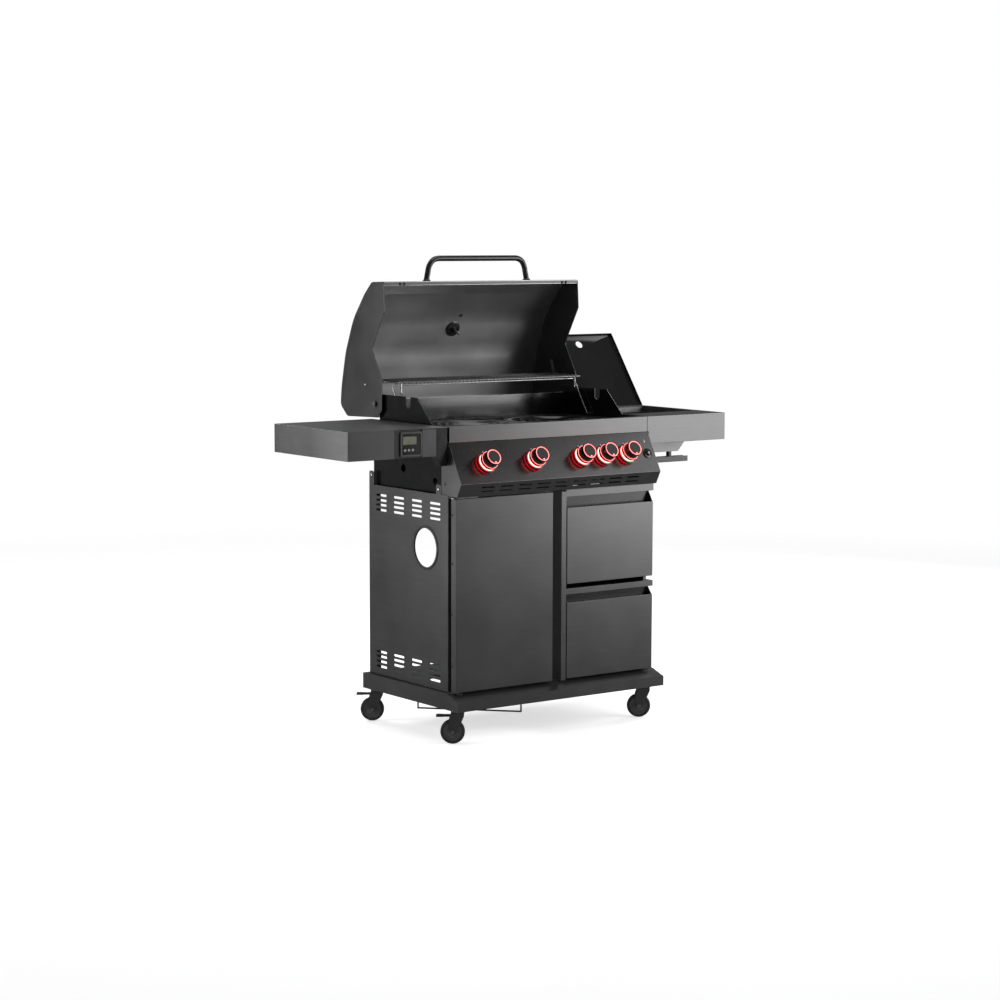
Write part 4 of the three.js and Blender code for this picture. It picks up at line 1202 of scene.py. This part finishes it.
# ------------------------------------------------------------------ screws that show
def trim_screws():
    for i, z in enumerate((660, 520, 375, 225)):
        dome_screw((-363.1, -196, z), (-1, 0, 0), 3.0, 1.6, f"door_screw_{i + 1}", "door")
    for which in (-1, 1):
        side = "left" if which < 0 else "right"
        dome_screw((which * 365.5, -164, 747), (which, 0, 0), 4.6, 2.6, f"{side}_cheek_screw")


trim_screws()


# ------------------------------------------------------------------ camera, floor and light
def camera():
    made = bpy.data.cameras.new("camera")
    made.lens = 89.2
    made.sensor_width = 36
    holder = bpy.data.objects.new("camera", made)
    holder.location = (-4.360, -5.987, 1.452)
    holder.rotation_euler = (math.radians(90 - 6.11), math.radians(-0.13), math.radians(-36.13))
    bpy.context.scene.collection.objects.link(holder)
    bpy.context.scene.camera = holder


def floor():
    """A pale round floor that fades into the backdrop."""
    body = bmesh.new()
    bmesh.ops.create_circle(body, cap_ends=True, segments=96, radius=9)
    mesh = bpy.data.meshes.new("floor")
    body.to_mesh(mesh)
    body.free()
    material, tree, shader, coords = new_material("floor_pale")
    cloudy = blend_colours(tree, noise(tree, coords, 2.0, 2.0), grey(0.86), grey(0.9))
    tree.links.new(cloudy, shader.inputs["Base Color"])
    shader.inputs["Roughness"].default_value = 0.8
    shader.inputs["Emission Color"].default_value = (1, 1, 1, 1)
    shader.inputs["Emission Strength"].default_value = 0.62
    length = tree.nodes.new("ShaderNodeVectorMath")
    length.operation = "LENGTH"
    tree.links.new(coords, length.inputs[0])
    fade = spread(tree, length.outputs["Value"], 1.0, 0.0, 1.6, 5.0)
    tree.links.new(fade, shader.inputs["Alpha"])
    mesh.materials.append(material)
    holder = bpy.data.objects.new("floor", mesh)
    holder.visible_glossy = False
    bpy.context.scene.collection.objects.link(holder)


def softbox(name, spot, aim, size, power):
    light = bpy.data.lights.new(name, "AREA")
    light.shape = "RECTANGLE"
    light.size, light.size_y = size
    light.energy = power
    holder = bpy.data.objects.new(name, light)
    holder.location = spot
    holder.rotation_mode = "QUATERNION"
    holder.rotation_quaternion = (Vector(aim) - Vector(spot)).to_track_quat("-Z", "Y")
    holder.visible_camera = False
    bpy.context.scene.collection.objects.link(holder)


def studio():
    """A dim room with a white backdrop, and softboxes on three sides and above."""
    world = bpy.data.worlds.new("studio")
    world.use_nodes = True
    tree = world.node_tree
    tree.nodes.clear()
    room = tree.nodes.new("ShaderNodeBackground")
    room.inputs["Color"].default_value = (0.95, 0.97, 1.0, 1)
    room.inputs["Strength"].default_value = 0.13
    backdrop = tree.nodes.new("ShaderNodeBackground")
    backdrop.inputs["Color"].default_value = (1, 1, 1, 1)
    backdrop.inputs["Strength"].default_value = 1.0
    path = tree.nodes.new("ShaderNodeLightPath")
    mix = tree.nodes.new("ShaderNodeMixShader")
    output = tree.nodes.new("ShaderNodeOutputWorld")
    tree.links.new(path.outputs["Is Camera Ray"], mix.inputs["Fac"])
    tree.links.new(room.outputs["Background"], mix.inputs[1])
    tree.links.new(backdrop.outputs["Background"], mix.inputs[2])
    tree.links.new(mix.outputs["Shader"], output.inputs["Surface"])
    bpy.context.scene.world = world
    softbox("key_softbox", (1.85, -1.8, 1.35), (0.2, -0.1, 0.9), (1.25, 2.2), 40)
    softbox("left_softbox", (-2.1, 0.9, 0.95), (-0.4, 0.0, 0.75), (0.9, 1.6), 25)
    softbox("back_softbox", (-0.2, 3.4, 2.9), (0.0, 0.0, 0.7), (2.2, 1.2), 60)
    softbox("side_softbox", (3.6, 1.0, 1.5), (0.3, 0.0, 0.7), (1.4, 1.6), 50)
    softbox("top_softbox", (0.1, -0.2, 3.2), (0.0, 0.0, 0.8), (1.8, 1.4), 22)
    view = bpy.context.scene.view_settings
    view.view_transform = "Standard"
    view.look = "None"


camera()
floor()
studio()
